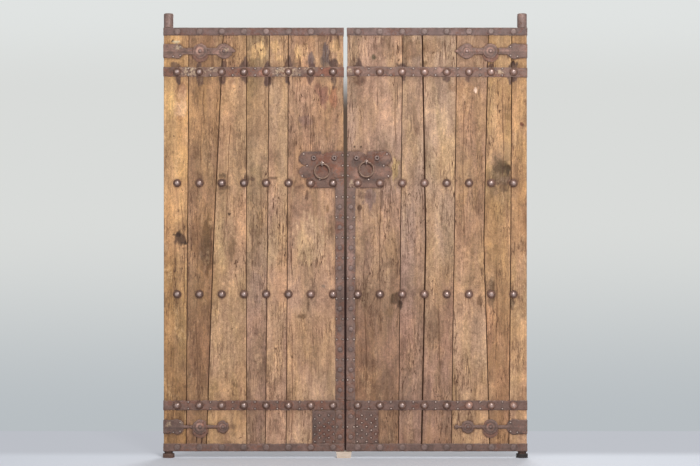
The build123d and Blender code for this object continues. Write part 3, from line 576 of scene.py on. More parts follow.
woodCracks = {  # depth, points as x and z, in mm
    "left": [
    (6, [(-686, 2030), (-704, 1760), (-716, 1370)]), (4, [(-164, 2530), (-160, 2360)]), (4, [(-68, 2270), (-70, 2200)]),
    (4, [(-320, 1280), (-322, 1130)]), (4, [(-322, 830), (-318, 450), (-322, 90)]),
    (3, [(-985, 1550), (-962, 1180), (-970, 880)]), (3, [(-900, 850), (-884, 550), (-890, 360)]),
    (3, [(-215, 2240), (-208, 1920), (-214, 1700)]), (3, [(-550, 1500), (-560, 1200), (-548, 1020)]),
    (5, [(-809, 1380), (-803, 1248), (-812, 1140)]), (4, [(-326, 1290), (-323, 1122)]),
    (5, [(-776, 2232), (-767, 2148), (-779, 2052)]), (4, [(-848, 2244), (-854, 2124), (-842, 1992)]),
    (4, [(-890, 2196), (-884, 2076)]), (4, [(-866, 1908), (-872, 1740)]), (4, [(-824, 1848), (-830, 1704)])],
    "right": [
    (5, [(598, 2530), (602, 2350)]), (4, [(210, 1550), (204, 1100), (212, 760)]),
    (4, [(118, 920), (128, 620), (124, 360)]), (3, [(712, 2100), (704, 1700), (716, 1300)]),
    (3, [(942, 2200), (950, 1860), (944, 1660)]), (3, [(905, 1200), (912, 850), (900, 550)]),
    (3, [(560, 950), (566, 620), (560, 400)]), (3, [(300, 2240), (296, 2020), (304, 1860)]),
    (5, [(811, 1416), (820, 1248)]), (5, [(808, 1176), (814, 1092)]), (5, [(811, 972), (820, 840)]),
    (3, [(40, 2232), (43, 2040)]), (3, [(190, 2244), (196, 2076)]), (7, [(482, 1578), (483, 1248), (479, 678)]),
    (6, [(479, 2292), (482, 2100)]), (4, [(70, 2532), (71, 2460)]), (4, [(592, 2532), (604, 2352)]),
    (4, [(346, 2532), (349, 2376)]), (4, [(514, 2460), (514, 2364)])],
}
woodMarks = {  # x, z, half width, half height and depth in mm, colour, strength; later ones lie on earlier ones
    "left": [
    (-989, 1308, 42, 34, 2, (112, 82, 62), 0.8), (-530, 2440, 46, 50, 0, (216, 172, 126), 0.8),
    (-425, 2470, 30, 35, 0, (212, 168, 124), 0.8), (-400, 2400, 35, 20, 0, (208, 164, 122), 0.7),
    (-255, 2440, 34, 50, 0, (212, 168, 124), 0.7), (-30, 2420, 22, 60, 0, (210, 166, 124), 0.7),
    (-980, 2180, 30, 50, 0, (218, 172, 134), 0.7), (-1040, 2120, 30, 70, 0, (220, 176, 124), 0.6),
    (-206, 2372, 36, 30, 0, (120, 92, 76), 0.7), (-198, 2410, 12, 34, 0, (124, 96, 80), 0.7),
    (-122, 2376, 32, 34, 0, (128, 104, 92), 0.9), (-118, 2420, 13, 40, 0, (128, 106, 94), 0.9),
    (-300, 2362, 30, 18, 0, (124, 96, 80), 0.6), (-60, 2372, 16, 30, 0, (112, 84, 70), 0.7),
    (-476, 2500, 10, 50, 0, (104, 74, 58), 0.7), (-86, 2500, 8, 60, 0, (92, 64, 52), 0.8),
    (-44, 2500, 8, 65, 0, (92, 64, 52), 0.8), (-74, 2262, 16, 26, 0, (104, 72, 58), 0.7),
    (-70, 2162, 26, 52, 1, (162, 102, 78), 0.6), (-1034, 2500, 10, 8, 6, (44, 28, 24), 1),
    (-1016, 2498, 22, 10, 0, (224, 208, 184), 0.8), (-740, 1692, 24, 15, 0, (104, 78, 60), 0.8),
    (-728, 1626, 30, 18, 0, (112, 84, 66), 0.75), (-590, 1677, 18, 24, 0, (98, 72, 56), 0.8),
    (-557, 1674, 18, 12, 0, (104, 76, 60), 0.75), (-434, 1680, 30, 10, 0, (98, 72, 56), 0.8),
    (-266, 1626, 42, 11, 0, (128, 96, 76), 0.7), (-230, 1578, 10, 36, 1, (96, 68, 52), 0.75),
    (-872, 1686, 18, 18, 0, (120, 88, 70), 0.6), (-992, 1320, 48, 30, 2, (92, 68, 52), 0.85),
    (-1016, 1338, 24, 10, 2, (62, 44, 34), 0.9), (-962, 1290, 24, 10, 2, (58, 42, 32), 0.9),
    (-836, 1248, 42, 90, 0, (122, 100, 84), 0.6), (-696, 1465, 9, 9, 3, (72, 48, 36), 0.9),
    (-107, 1494, 9, 24, 0, (132, 96, 64), 0.7), (-262, 848, 24, 18, 0, (112, 82, 62), 0.75),
    (-224, 912, 8, 30, 1, (112, 82, 64), 0.7), (-134, 1032, 14, 12, 0, (124, 108, 94), 0.7),
    (-530, 1020, 54, 108, 0, (158, 128, 112), 0.5), (-1052, 768, 18, 72, 0, (190, 148, 104), 0.5),
    (-1004, 2088, 30, 48, 0, (226, 180, 142), 0.5), (-830, 1272, 36, 192, 0, (98, 68, 44), 0.75),
    (-896, 1332, 30, 144, 0, (124, 88, 58), 0.5), (-740, 1308, 30, 132, 0, (206, 170, 132), 0.45),
    (-464, 1248, 60, 120, 0, (196, 162, 134), 0.4), (-212, 1308, 84, 156, 0, (214, 178, 142), 0.45),
    (-680, 1248, 18, 72, 0, (124, 94, 66), 0.5), (-206, 2394, 21, 48, 0, (112, 92, 88), 0.85),
    (-116, 2424, 24, 66, 0, (110, 92, 90), 0.85), (-122, 2472, 12, 30, 0, (112, 94, 92), 0.8),
    (-284, 2448, 24, 36, 0, (214, 172, 128), 0.6), (-512, 2448, 30, 48, 0, (216, 174, 128), 0.5),
    (-68, 2472, 30, 48, 0, (216, 172, 126), 0.6), (-128, 2172, 30, 54, 0, (128, 80, 72), 0.6),
    (-164, 2220, 24, 36, 0, (132, 88, 76), 0.55), (-236, 2028, 48, 36, 0, (120, 90, 84), 0.55),
    (-980, 2088, 30, 60, 0, (232, 186, 150), 0.6), (-992, 2040, 24, 18, 0, (172, 120, 76), 0.6),
    (-986, 2220, 30, 30, 0, (150, 104, 80), 0.5), (-893, 112, 4, 30, 5, (60, 40, 32), 0.9),
    (-862, 112, 4, 30, 5, (60, 40, 32), 0.9)],
    "right": [
    (782, 2207, 11, 17, 1, (250, 214, 194), 1), (802, 2190, 6, 30, 2, (92, 66, 50), 0.8),
    (930, 1770, 60, 70, 0, (142, 112, 88), 0.55), (950, 1745, 42, 45, 1, (112, 88, 58), 0.7),
    (975, 1740, 22, 20, 4, (72, 50, 34), 0.85), (925, 1655, 75, 18, 0, (142, 106, 88), 0.75),
    (958, 1672, 34, 15, 0, (186, 148, 128), 0.9), (890, 1600, 30, 30, 0, (140, 112, 86), 0.5),
    (292, 954, 20, 40, 1, (122, 88, 68), 0.7), (169, 2406, 14, 18, 1, (84, 78, 56), 0.8),
    (53, 1867, 6, 7, 8, (40, 26, 20), 1), (94, 1867, 6, 7, 8, (40, 26, 20), 1),
    (150, 1570, 40, 55, 0, (120, 98, 100), 0.6), (1009, 2366, 10, 24, 10, (48, 32, 26), 1),
    (220, 1560, 10, 60, 0, (96, 70, 58), 0.6), (301, 960, 36, 36, 0, (128, 100, 80), 0.75),
    (325, 924, 15, 21, 0, (96, 70, 54), 0.8), (878, 990, 24, 78, 0, (142, 110, 84), 0.6),
    (1003, 942, 11, 36, 0, (98, 70, 52), 0.75), (1000, 1032, 12, 24, 0, (120, 88, 66), 0.6),
    (85, 1500, 10, 18, 1, (88, 60, 46), 0.8), (298, 1740, 21, 72, 0, (172, 142, 94), 0.6),
    (1063, 2001, 11, 11, 2, (104, 58, 44), 0.9), (220, 2502, 13, 24, 0, (118, 86, 76), 0.7),
    (469, 2367, 24, 18, 0, (120, 92, 66), 0.7), (94, 2259, 24, 27, 0, (126, 96, 80), 0.65),
    (976, 1728, 10, 30, 4, (54, 36, 26), 0.9), (946, 1746, 18, 8, 2, (66, 46, 32), 0.85),
    (136, 588, 42, 54, 0, (132, 100, 84), 0.4), (244, 468, 48, 72, 0, (128, 98, 82), 0.4),
    (748, 1548, 18, 120, 0, (168, 132, 104), 0.5), (928, 1716, 60, 84, 2, (98, 78, 58), 0.7),
    (952, 1620, 30, 30, 0, (92, 66, 50), 0.7), (301, 960, 30, 42, 1, (92, 70, 54), 0.85),
    (328, 918, 15, 30, 0, (70, 50, 38), 0.85), (280, 876, 36, 30, 0, (128, 98, 74), 0.5),
    (118, 1572, 48, 24, 0, (112, 82, 70), 0.6), (874, 978, 21, 72, 0, (122, 94, 70), 0.7),
    (1003, 924, 11, 48, 0, (84, 58, 42), 0.8), (808, 948, 18, 42, 1, (104, 74, 52), 0.6),
    (118, 738, 60, 72, 0, (140, 106, 82), 0.5), (244, 2460, 72, 54, 0, (134, 102, 84), 0.55),
    (400, 2448, 72, 60, 0, (128, 92, 68), 0.5), (520, 2472, 60, 48, 0, (132, 98, 72), 0.5),
    (82, 2268, 48, 36, 0, (120, 88, 70), 0.6), (700, 2220, 72, 54, 0, (150, 112, 82), 0.5)],
}


outlineDepths = {"lock_plate": ironFront, "corner_plate": ironFront, "top_ornament": boardFront - 0.005,
                 "bottom_ornament": boardFront - 0.005, "backing_discs": ironFront}
ironOutlines = {side: [line for node, depth in outlineDepths.items() for line in faceOutlines(f"{side}_{node}", depth)]
                for side in sideSigns}


def strapTeeth(side):
    # dark mauve stains at the studs, above and below the upper stud strap
    spots = []
    low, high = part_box(f"{side}_upper_stud_strap")
    left = side == "left"
    rng = np.random.default_rng(53 if left else 46)
    for x, z, *_ in heads[side]["dome_studs"]:
        for edge in (low.z, high.z) if low.z < z < high.z else ():
            chance, place, wide, tall, strength = rng.random(5)
            if chance < (0.95 if left else 0.6):
                spots.append((x + 0.02 * (place - 0.5), edge, 0.014 + 0.016 * wide, 0.026 + 0.034 * tall, 0.0,
                              (92, 68, 62), 0.75 + 0.25 * strength))
    return spots


def boardLines(name):
    # low and high x edges of a board at its foot, middle and head
    points = cadPoints(name)
    foot, middle, head = woodLevels
    found = {}
    for level in (foot, head):
        xs = points[(np.abs(points[:, 2] - level) < 1e-4) & (np.abs(points[:, 1]) < boardBack + 1e-4), 0]
        found[level] = (xs.min(), xs.max())
    xs = points[(np.abs(points[:, 2] - middle) < 1e-4) & (np.abs(points[:, 1] - boardFront) < 1e-4), 0]
    straight = [(low + high) / 2 for low, high in zip(found[foot], found[head])]
    lines = []
    for end in (0, 1):
        near = xs[np.abs(xs - straight[end]) < np.abs(xs - straight[1 - end])]
        bent = near[np.argmin(np.abs(near - straight[end]))] if len(near) else straight[end]
        lines.append((found[foot][end], bent, found[head][end]))
    return lines


def boardRustAndShade(side, x, z, seed):
    # rust that has run into the wood round studs, straps, plates and ornaments, with painted shade: the dark ring
    # hugging each dome and the thin dark line just outside the plates, ornaments and edge strap are partly shade of the
    # iron's edge
    look = rustAndShadeLook
    rust = np.zeros_like(x)
    for sx, sz, *_ in heads[side]["dome_studs"]:
        if x[:, 0].min() - 0.08 <= sx <= x[:, -1].max() + 0.08:
            away = np.hypot(x - sx, z - sz)
            # a dark ring close round each dome: painted shade at the head's rim, partly rust
            rust += 0.70 * np.exp(-(np.maximum(away - look["head"], 0) / look["headFade"]) ** 2)
            run = np.exp(-((x - sx - 0.004 * noise(z / 0.03, seed, 21)) / 0.010) ** 2)
            rust += 0.35 * run * np.exp(-np.maximum(sz - z, 0) / 0.05) * (z < sz)
    for strap in ("top_strap", "upper_stud_strap", "lower_stud_strap", "bottom_strap"):
        low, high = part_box(f"{side}_{strap}")
        under = np.maximum(low.z - z, 0) + 10 * (z > low.z)
        over = np.maximum(z - high.z, 0) + 10 * (z < high.z)
        length = 0.02 + 0.02 * rise(-0.2, 0.9, noise(x / 0.02, 0, seed + 31))
        rust += 0.5 * np.exp(-under / length) + 0.35 * np.exp(-over / (0.5 * length))
    for line in ironOutlines[side]:
        low, high = line.min(axis=0) - look["outlineReach"], line.max(axis=0) + look["outlineReach"]
        near = (x > low[0]) & (x < high[0]) & (z > low[1]) & (z < high[1])
        if near.any():
            out = np.maximum(-outlineField(line, x[near], z[near]), 0)
            patchy = rise(-0.1, 0.5, noise(x[near] / 0.016, z[near] / 0.02, seed + 33))
            # a thin dark line just outside the outline is painted shadow of the iron's edge, partly rust; the wider
            # patchy band is rust
            rust[near] += (0.9 * np.exp(-(out / look["outline"]) ** 2)
                           + 0.55 * np.exp(-out / look["outlineFade"]) * patchy)
    # a dark line along the edge strap's side: painted shadow of its edge, partly rust
    beside = np.abs(np.abs(x) - meetAt(z) - look["edgeStrap"])
    rust += 0.35 * np.exp(-beside / look["edgeFade"]) * (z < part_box(f"{side}_lock_plate")[0].z)
    return np.clip(rust * (0.75 + 0.4 * layered(x / 0.02, z / 0.06, seed + 32, 2)), 0, 1)


def makeBoard(name, side, number, lowLine, highLine, gapLow, gapHigh):
    seed = 101 + number * 7 + (50 if side == "right" else 0)
    stations = np.linspace(woodFoot, woodHead, int(round((woodHead - woodFoot) / wood["stationStep"])) + 1)
    low, high = np.interp(stations, woodLevels, lowLine), np.interp(stations, woodLevels, highLine)
    width = max(highLine[1] - lowLine[1], 0.08)
    shares = np.linspace(0, 1, int(width / wood["columnStep"]) + 1)
    clear = wood["edgeClear"] / width
    edges = np.array(wood["edgeColumns"]) / width
    shares = np.concatenate([edges, shares[(shares > clear) & (shares < 1 - clear)], 1 - edges[::-1]])
    count = len(shares)
    z = np.repeat(stations[:, None], count, axis=1)
    x = low[:, None] + (high - low)[:, None] * shares[None, :]
    for fromEdge, gap, step, shift in ((shares, gapLow, 0.11, 3), (1 - shares, gapHigh, 0.12, 4)):
        wobble = wood["wobble"] * noise(stations / step, seed, shift) + 0.0005 * noise(stations / 0.03, seed, shift + 2)
        x = x + np.where(fromEdge < 0.1, wobble[:, None], 0) * (1 - fromEdge / 0.1) * (gap > 0)
    crack, depth = np.zeros_like(x), np.zeros_like(x)
    for crackDepth, line in woodCracks[side]:
        xs, zs = np.array(sorted(line, key=lambda point: point[1])).T / 1000
        centre = np.interp(stations, zs, xs) + 0.002 * noise(stations / 0.08, seed, 9)
        on = (stations > zs[0]) & (stations < zs[-1]) & (centre > low + 0.004) & (centre < high - 0.004)
        taper = np.minimum(rise(zs[0], zs[0] + 0.06, stations), 1 - rise(zs[-1] - 0.06, zs[-1], stations))
        for i in np.nonzero(on)[0]:
            k = int(np.argmin(np.abs(x[i] - centre[i])))
            if 3 < k < count - 4:
                x[i, k] = centre[i]
                crack[i, k] = max(crack[i, k], taper[i])
                depth[i, k] = max(depth[i, k], crackDepth / 1000 * taper[i])
    fromEdge = np.minimum(x - low[:, None], high[:, None] - x)
    radius = wood["arris"] * (1 + 0.5 * noise(z / 0.09, seed, 11) + 0.4 * noise(z / 0.02, seed, 12))
    depth += radius * (1 - np.sqrt(np.clip(1 - np.clip(1 - fromEdge / radius, 0, 1) ** 2, 0, 1)))
    fissures = np.clip(1 - np.abs(noise(x / 0.011, z / 0.30, seed + 1)) / 0.13, 0, 1)
    fissures = fissures * rise(0.0, 0.5, noise(x / 0.06, z / 0.5, seed + 2) + 0.15)
    rough = 1.5 if name == "left_second_board" else 1.0
    depth += wood["fissure"] * fissures * rough
    depth += wood["cup"] * (0.6 + 0.5 * layered(x / 0.09, z / 0.5, seed + 3, 2))
    depth += 0.0004 * (1 + noise(x / 0.012, z / 0.12, seed + 4))
    depth += 0.0015 * np.maximum(rise(woodHead - 0.01, woodHead, z), 1 - rise(woodFoot, woodFoot + 0.01, z))
    headTint, footTint = (linear(*tint) for tint in woodTints[name])
    up = rise(0.55, 1.7, z)[..., None]
    paint = footTint * (1 - up) + headTint * up
    paint = paint * (1 + 0.16 * layered(x / 0.06, z / 0.20, seed + 5, 3)[..., None])
    paint = paint * (1 + 0.05 * noise(x / 0.02, z / 0.3, seed + 6)[..., None])
    warm = np.array([0.05, 0.0, -0.08])
    paint = paint * (1 + warm * rise(-0.4, 0.6, noise(x / 0.12, z / 0.35, seed + 8))[..., None])
    ragged = 1 + 0.28 * noise(x / 0.012, z / 0.03, seed + 9) + 0.22 * noise(x / 0.03, z / 0.03, seed + 10)
    given = [(*(v / 1000 for v in places), colour, strength) for *places, colour, strength in woodMarks[side]]
    for mx, mz, halfWidth, halfHeight, markDepth, colour, strength in given + strapTeeth(side):
        away = np.sqrt(((x - mx) / halfWidth) ** 2 + ((z - mz) / halfHeight) ** 2) * ragged
        inside = ((1 - rise(0.78, 1.10, away)) * strength)[..., None]
        paint = paint * (1 - inside) + linear(*colour) * inside
        depth += markDepth * (1 - rise(0.5, 1.1, away))
    flake = 0.45 * rise(0.55, 0.9, layered(x / 0.035, z / 0.12, seed + 41, 3)) * (0.8 if "stile" in name else 0.5)
    seamDark = np.clip(1 - fromEdge / (0.5 * radius + 0.0004), 0, 1)
    darkness = np.clip(crack + 0.4 * fissures * rise(0.2, 0.9, fissures) * rough + 0.8 * seamDark, 0, 1)
    frontY = boardFront + np.clip(depth, 0.0001, 0.012)
    marks = np.stack([darkness, boardRustAndShade(side, x, z, seed), flake], axis=-1)
    reachLow, reachHigh = (max(gap / 2 - wood["seamLeft"], 0) if gap > 0 else 0 for gap in (gapLow, gapHigh))

    def sideRing(edge, reach, gap, depths):
        # straight at first, then out to the seam's middle, so that no light comes through
        ring = np.stack([np.stack([edge + (reach if d > wood["grooveStart"] else 0), np.full_like(edge, boardFront + d),
                                   stations], axis=-1) for d in depths], axis=1)
        dark = np.zeros(ring.shape)
        dark[..., 0] = 0.95 if gap > 0 else 0.25
        return ring, dark

    highSide, highDark = sideRing(high, reachHigh, gapHigh, wood["sideDepths"])
    lowSide, lowDark = sideRing(low, -reachLow, gapLow, wood["sideDepths"][::-1])
    backShares = np.linspace(1, 0, wood["backColumns"])
    backX = (low - reachLow)[:, None] + (high + reachHigh - low + reachLow)[:, None] * backShares[None, :]
    backZ = np.repeat(stations[:, None], len(backShares), axis=1)
    backDepth = 0.0006 * (1 + noise(backX / 0.05, backZ / 0.4, seed + 51))
    backDepth += 0.0016 * ((backShares < 0.02) | (backShares > 0.98))[None, :]
    back = np.stack([backX, boardBack - backDepth, backZ], axis=-1)
    backPaint = linear(*wood["backTone"]) * (1 + 0.1 * noise(backX / 0.06, backZ / 0.4, seed + 53)[..., None])
    sidePaint = np.broadcast_to(footTint * 0.7, highSide.shape)
    loop = np.concatenate([np.stack([x, frontY, z], axis=-1), highSide, back, lowSide], axis=1)
    paint = np.concatenate([paint, sidePaint, backPaint, sidePaint], axis=1)
    marks = np.concatenate([marks, highDark, np.zeros(back.shape), lowDark], axis=1)
    faces = tubeFaces(len(stations), loop.shape[1], False)
    points = np.concatenate([loop.reshape(-1, 3), loop[[0, -1]].mean(axis=1)])
    values = {"paint": np.concatenate([paint.reshape(-1, 3), np.tile(footTint * 0.7, (2, 1))]),
              "marks": np.concatenate([marks.reshape(-1, 3), np.zeros((2, 3))]),
              "shift": np.full(len(points), 0.37 * number + (5.1 if side == "right" else 1.3))}
    return points, facesOutward(points, faces), values


def roundBar(centre, radius, low, high, tone, shift):
    # a plain upright pin under its iron
    turns = fullTurn(32)
    ring = np.column_stack([centre + radius * np.cos(turns), radius * np.sin(turns)])
    points = np.concatenate([np.column_stack([ring, np.full(32, low)]), np.column_stack([ring, np.full(32, high)]),
                             [[centre, 0, low], [centre, 0, high]]])
    a = np.arange(32)
    b = (a + 1) % 32
    faces = [np.stack([a, b, b + 32, a + 32], axis=-1), np.stack([b, a, np.full(32, 64)], axis=-1),
             np.stack([a + 32, b + 32, np.full(32, 65)], axis=-1)]
    values = {"paint": np.tile(linear(*tone), (66, 1)), "marks": np.zeros((66, 3)), "shift": np.full(66, shift)}
    return points, facesOutward(points, faces), values


def makeBoards(side):
    names = sorted((f"{side}_{board}" for board in boardOrder), key=lambda name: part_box(name)[0].x)
    lines = [boardLines(name) for name in names]
    gaps = [0.0] + [after[0][1] - before[1][1] for before, after in zip(lines, lines[1:])] + [0.0]
    for i, name in enumerate(names):
        number = boardOrder.index(name.split("_", 1)[1])
        parts = [makeBoard(name, side, number, *lines[i], gaps[i], gaps[i + 1])]
        if number == 0:
            sleeve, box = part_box(f"{side}_top_pin_sleeve"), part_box(name)
            pinX = (sleeve[0].x + sleeve[1].x) / 2
            for radius, low, high in ((boardBack - 0.0032, woodHead - 0.02, box[1].z - 0.0002),
                                      (boardBack - 0.0072, box[0].z + 0.0002, woodFoot + 0.02)):
                parts.append(roundBar(pinX, radius, low, high, wood["pinTone"], 3.0))
        piece = makePiece(f"{name}_plank", *joinParts(parts), boardMaterial)
        giveTo(piece, f"{side}_leaf", "stile_wood" if number == 0 else "board_wood", name)


for side in sideSigns:
    makeBoards(side)
print("boards made")


iron = {"strapCell": 0.004, "plateCell": 0.0026, "bend": 0.004, "ragged": 0.0010, "bite": 0.0025, "wave": 0.0004,
        "pit": 0.0006, "edgeRound": 0.003}
ironMarks = {  # x, z, half width and half height in mm, what shows there
    "left_upper_stud_strap": [
    (-914, 2322, 80, 34, "pale"), (-356, 2318, 90, 30, "pale"), (-795, 2334, 30, 16, "pale"),
    (-215, 2330, 30, 18, "pale"), (-490, 2312, 34, 18, "bright"), (-1050, 2330, 20, 20, "dark"),
    (-640, 2316, 100, 30, "rust"), (-110, 2320, 50, 30, "rust")],
    "right_upper_stud_strap": [
    (26, 2326, 16, 16, "pale"), (275, 2322, 20, 20, "bright"), (930, 2316, 30, 14, "pale"),
    (560, 2330, 30, 20, "bright")],
    "left_lock_plate": [
    (-130, 1810, 70, 45, "rust"), (-139, 1720, 40, 40, "rust"), (-235, 1700, 30, 30, "dark"),
    (-45, 1730, 28, 40, "bright"), (-262, 1770, 20, 12, "dark"), (-180, 1830, 60, 12, "dark"),
    (-225, 1640, 30, 14, "dark")],
    "right_lock_plate": [
    (236, 1806, 34, 24, "bright"), (212, 1716, 45, 26, "bright"), (262, 1740, 22, 18, "bright"),
    (200, 1765, 30, 20, "dark"), (70, 1700, 20, 30, "bright"), (60, 1780, 30, 40, "dark"), (126, 1810, 30, 20, "dark"),
    (150, 1665, 80, 20, "dark"), (40, 1640, 16, 26, "pale")],
    "left_top_ornament": [
    (-1034, 2505, 34, 12, "pale"), (-1010, 2462, 30, 12, "pale"), (-955, 2492, 16, 12, "pale"),
    (-835, 2482, 16, 8, "pale"), (-712, 2452, 18, 12, "pale"), (-780, 2430, 26, 10, "bright"),
    (-1014, 2497, 30, 12, "pale"), (-1050, 2430, 22, 14, "dark"), (-995, 2470, 20, 10, "pale"),
    (-960, 2440, 16, 12, "dark"), (-1070, 2470, 12, 10, "dark"), (-870, 2445, 26, 26, "bright")],
    "right_top_ornament": [
    (660, 2441, 20, 12, "bright"), (740, 2441, 26, 26, "bright"), (955, 2446, 30, 14, "bright")],
    "left_bottom_ornament": [
    (-1060, 205, 18, 18, "pale"), (-975, 215, 18, 10, "pale"), (-985, 160, 20, 10, "bright"),
    (-870, 205, 34, 22, "bright"), (-730, 198, 22, 16, "bright"), (-1030, 187, 70, 50, "dark"),
    (-668, 188, 18, 18, "pale")],
    "left_corner_plate": [
    (-185, 190, 20, 90, "dark"), (-110, 160, 50, 50, "rust")],
    "left_edge_strap": [
    (-30, 900, 30, 120, "dark")],
    "right_edge_strap": [
    (30, 1200, 30, 150, "bright")],
}
ironShades = {  # how each piece differs from the common iron, as red, green and blue; the first that fits is used
    "right_lower_stud_strap": (0.84, 0.79, 0.80), "right_bottom_strap": (0.81, 0.81, 0.86),
    "left_top_strap": (0.78, 0.78, 0.88), "top_strap": (0.84, 0.86, 0.98), "lower_stud_strap": (0.92, 0.86, 0.84),
    "bottom_strap": (0.90, 0.88, 0.92), "lock_plate": (0.86, 0.76, 0.68), "corner_plate": (0.78, 0.76, 0.78),
    "upper_stud_strap": (1.03, 0.97, 0.93), "top_ornament": (1.06, 1.0, 0.98), "bottom_ornament": (0.92, 0.90, 0.92),
}
# strengths of the painted highlight and shade on the ornaments' hammered rings
ringLightAndShade = {"hollow": 0.52, "light": 2.2}


def headShade(side, x, z):
    # painted shade: a dark ring on the iron round each tack and nail, where the head meets it
    shade = np.zeros_like(x)
    for middleX, middleZ, radius, strength in headPlaces[side]:
        reach = radius + 0.012
        near = (np.abs(x - middleX) < reach) & (np.abs(z - middleZ) < reach)
        if near.any():
            away = np.hypot(x[near] - middleX, z[near] - middleZ)
            shade[near] = np.maximum(shade[near], strength * np.exp(-((away - radius - 0.002) / 0.0035) ** 2))
    return shade


def foldOver(s, low, high, front, back, radius):
    # place and outward direction across a fold: s runs along the front and on round either edge
    way = np.where(s > (low + high) / 2, 1.0, -1.0)
    edge = np.where(way > 0, high, low)
    over = (s - edge) * way + radius
    quarter, deep = radius * math.pi / 2, back - front - 2 * radius
    first = np.clip(over / radius, 0, math.pi / 2)
    side = np.clip(over - quarter, 0, deep)
    second = np.clip((over - quarter - deep) / radius, 0, math.pi / 2)
    rest = np.maximum(over - 2 * quarter - deep, 0)
    along = np.where(over > 0, edge + way * (radius * (np.sin(first) - 2 + np.cos(second)) - rest), s)
    depth = front + radius * (1 - np.cos(first)) + side + radius * np.sin(second)
    turn = first + second
    return along, depth, way * np.sin(turn), -np.cos(turn)


def foldReach(edge, way, onBack, front, back, radius):
    # the s at which a sheet ends that comes this far round onto the back
    return edge + way * (math.pi * radius + back - front - 2 * radius + onBack - 2 * radius)


def foldLines(start, end, low, high, front, back, radius, cell):
    # grid lines between two values of s, close together round the bends
    quarter, deep = radius * math.pi / 2, back - front - 2 * radius
    stops = [start, end]
    for edge, way in ((low, -1), (high, 1)):
        stops += [edge + way * (base + quarter * k / 3 - radius) for base in (0, quarter + deep) for k in range(4)]
    stops = sorted(stop for stop in stops if start <= stop <= end)
    lines = []
    for a, b in zip(stops, stops[1:]):
        if b - a > 1e-5:
            lines += list(np.linspace(a, b, max(1, math.ceil((b - a) / cell)) + 1)[:-1])
    return np.array(lines + [end])


def boxField(s, a, s0, s1, a0, a1):
    return np.minimum(np.minimum(s - s0, s1 - s), np.minimum(a - a0, a1 - a))


def keepCells(keep):
    # no two kept cells touch at a corner alone, and only the largest patches stay
    for _ in range(6):
        a, b, c, d = keep[:-1, :-1], keep[1:, :-1], keep[:-1, 1:], keep[1:, 1:]
        cross = (a & d & ~b & ~c) | (b & c & ~a & ~d)
        if not cross.any():
            break
        for corner in (a, b, c, d):
            corner |= cross
    patch = np.zeros(keep.shape, int)
    sizes = [0]
    for i, j in zip(*np.nonzero(keep)):
        if patch[i, j]:
            continue
        sizes.append(0)
        stack = [(i, j)]
        patch[i, j] = len(sizes) - 1
        while stack:
            p, q = stack.pop()
            sizes[-1] += 1
            for r, t in ((p + 1, q), (p - 1, q), (p, q + 1), (p, q - 1)):
                if 0 <= r < keep.shape[0] and 0 <= t < keep.shape[1] and keep[r, t] and not patch[r, t]:
                    patch[r, t] = len(sizes) - 1
                    stack.append((r, t))
    large = np.array(sizes) > 0.15 * max(sizes)
    return keep & large[patch]


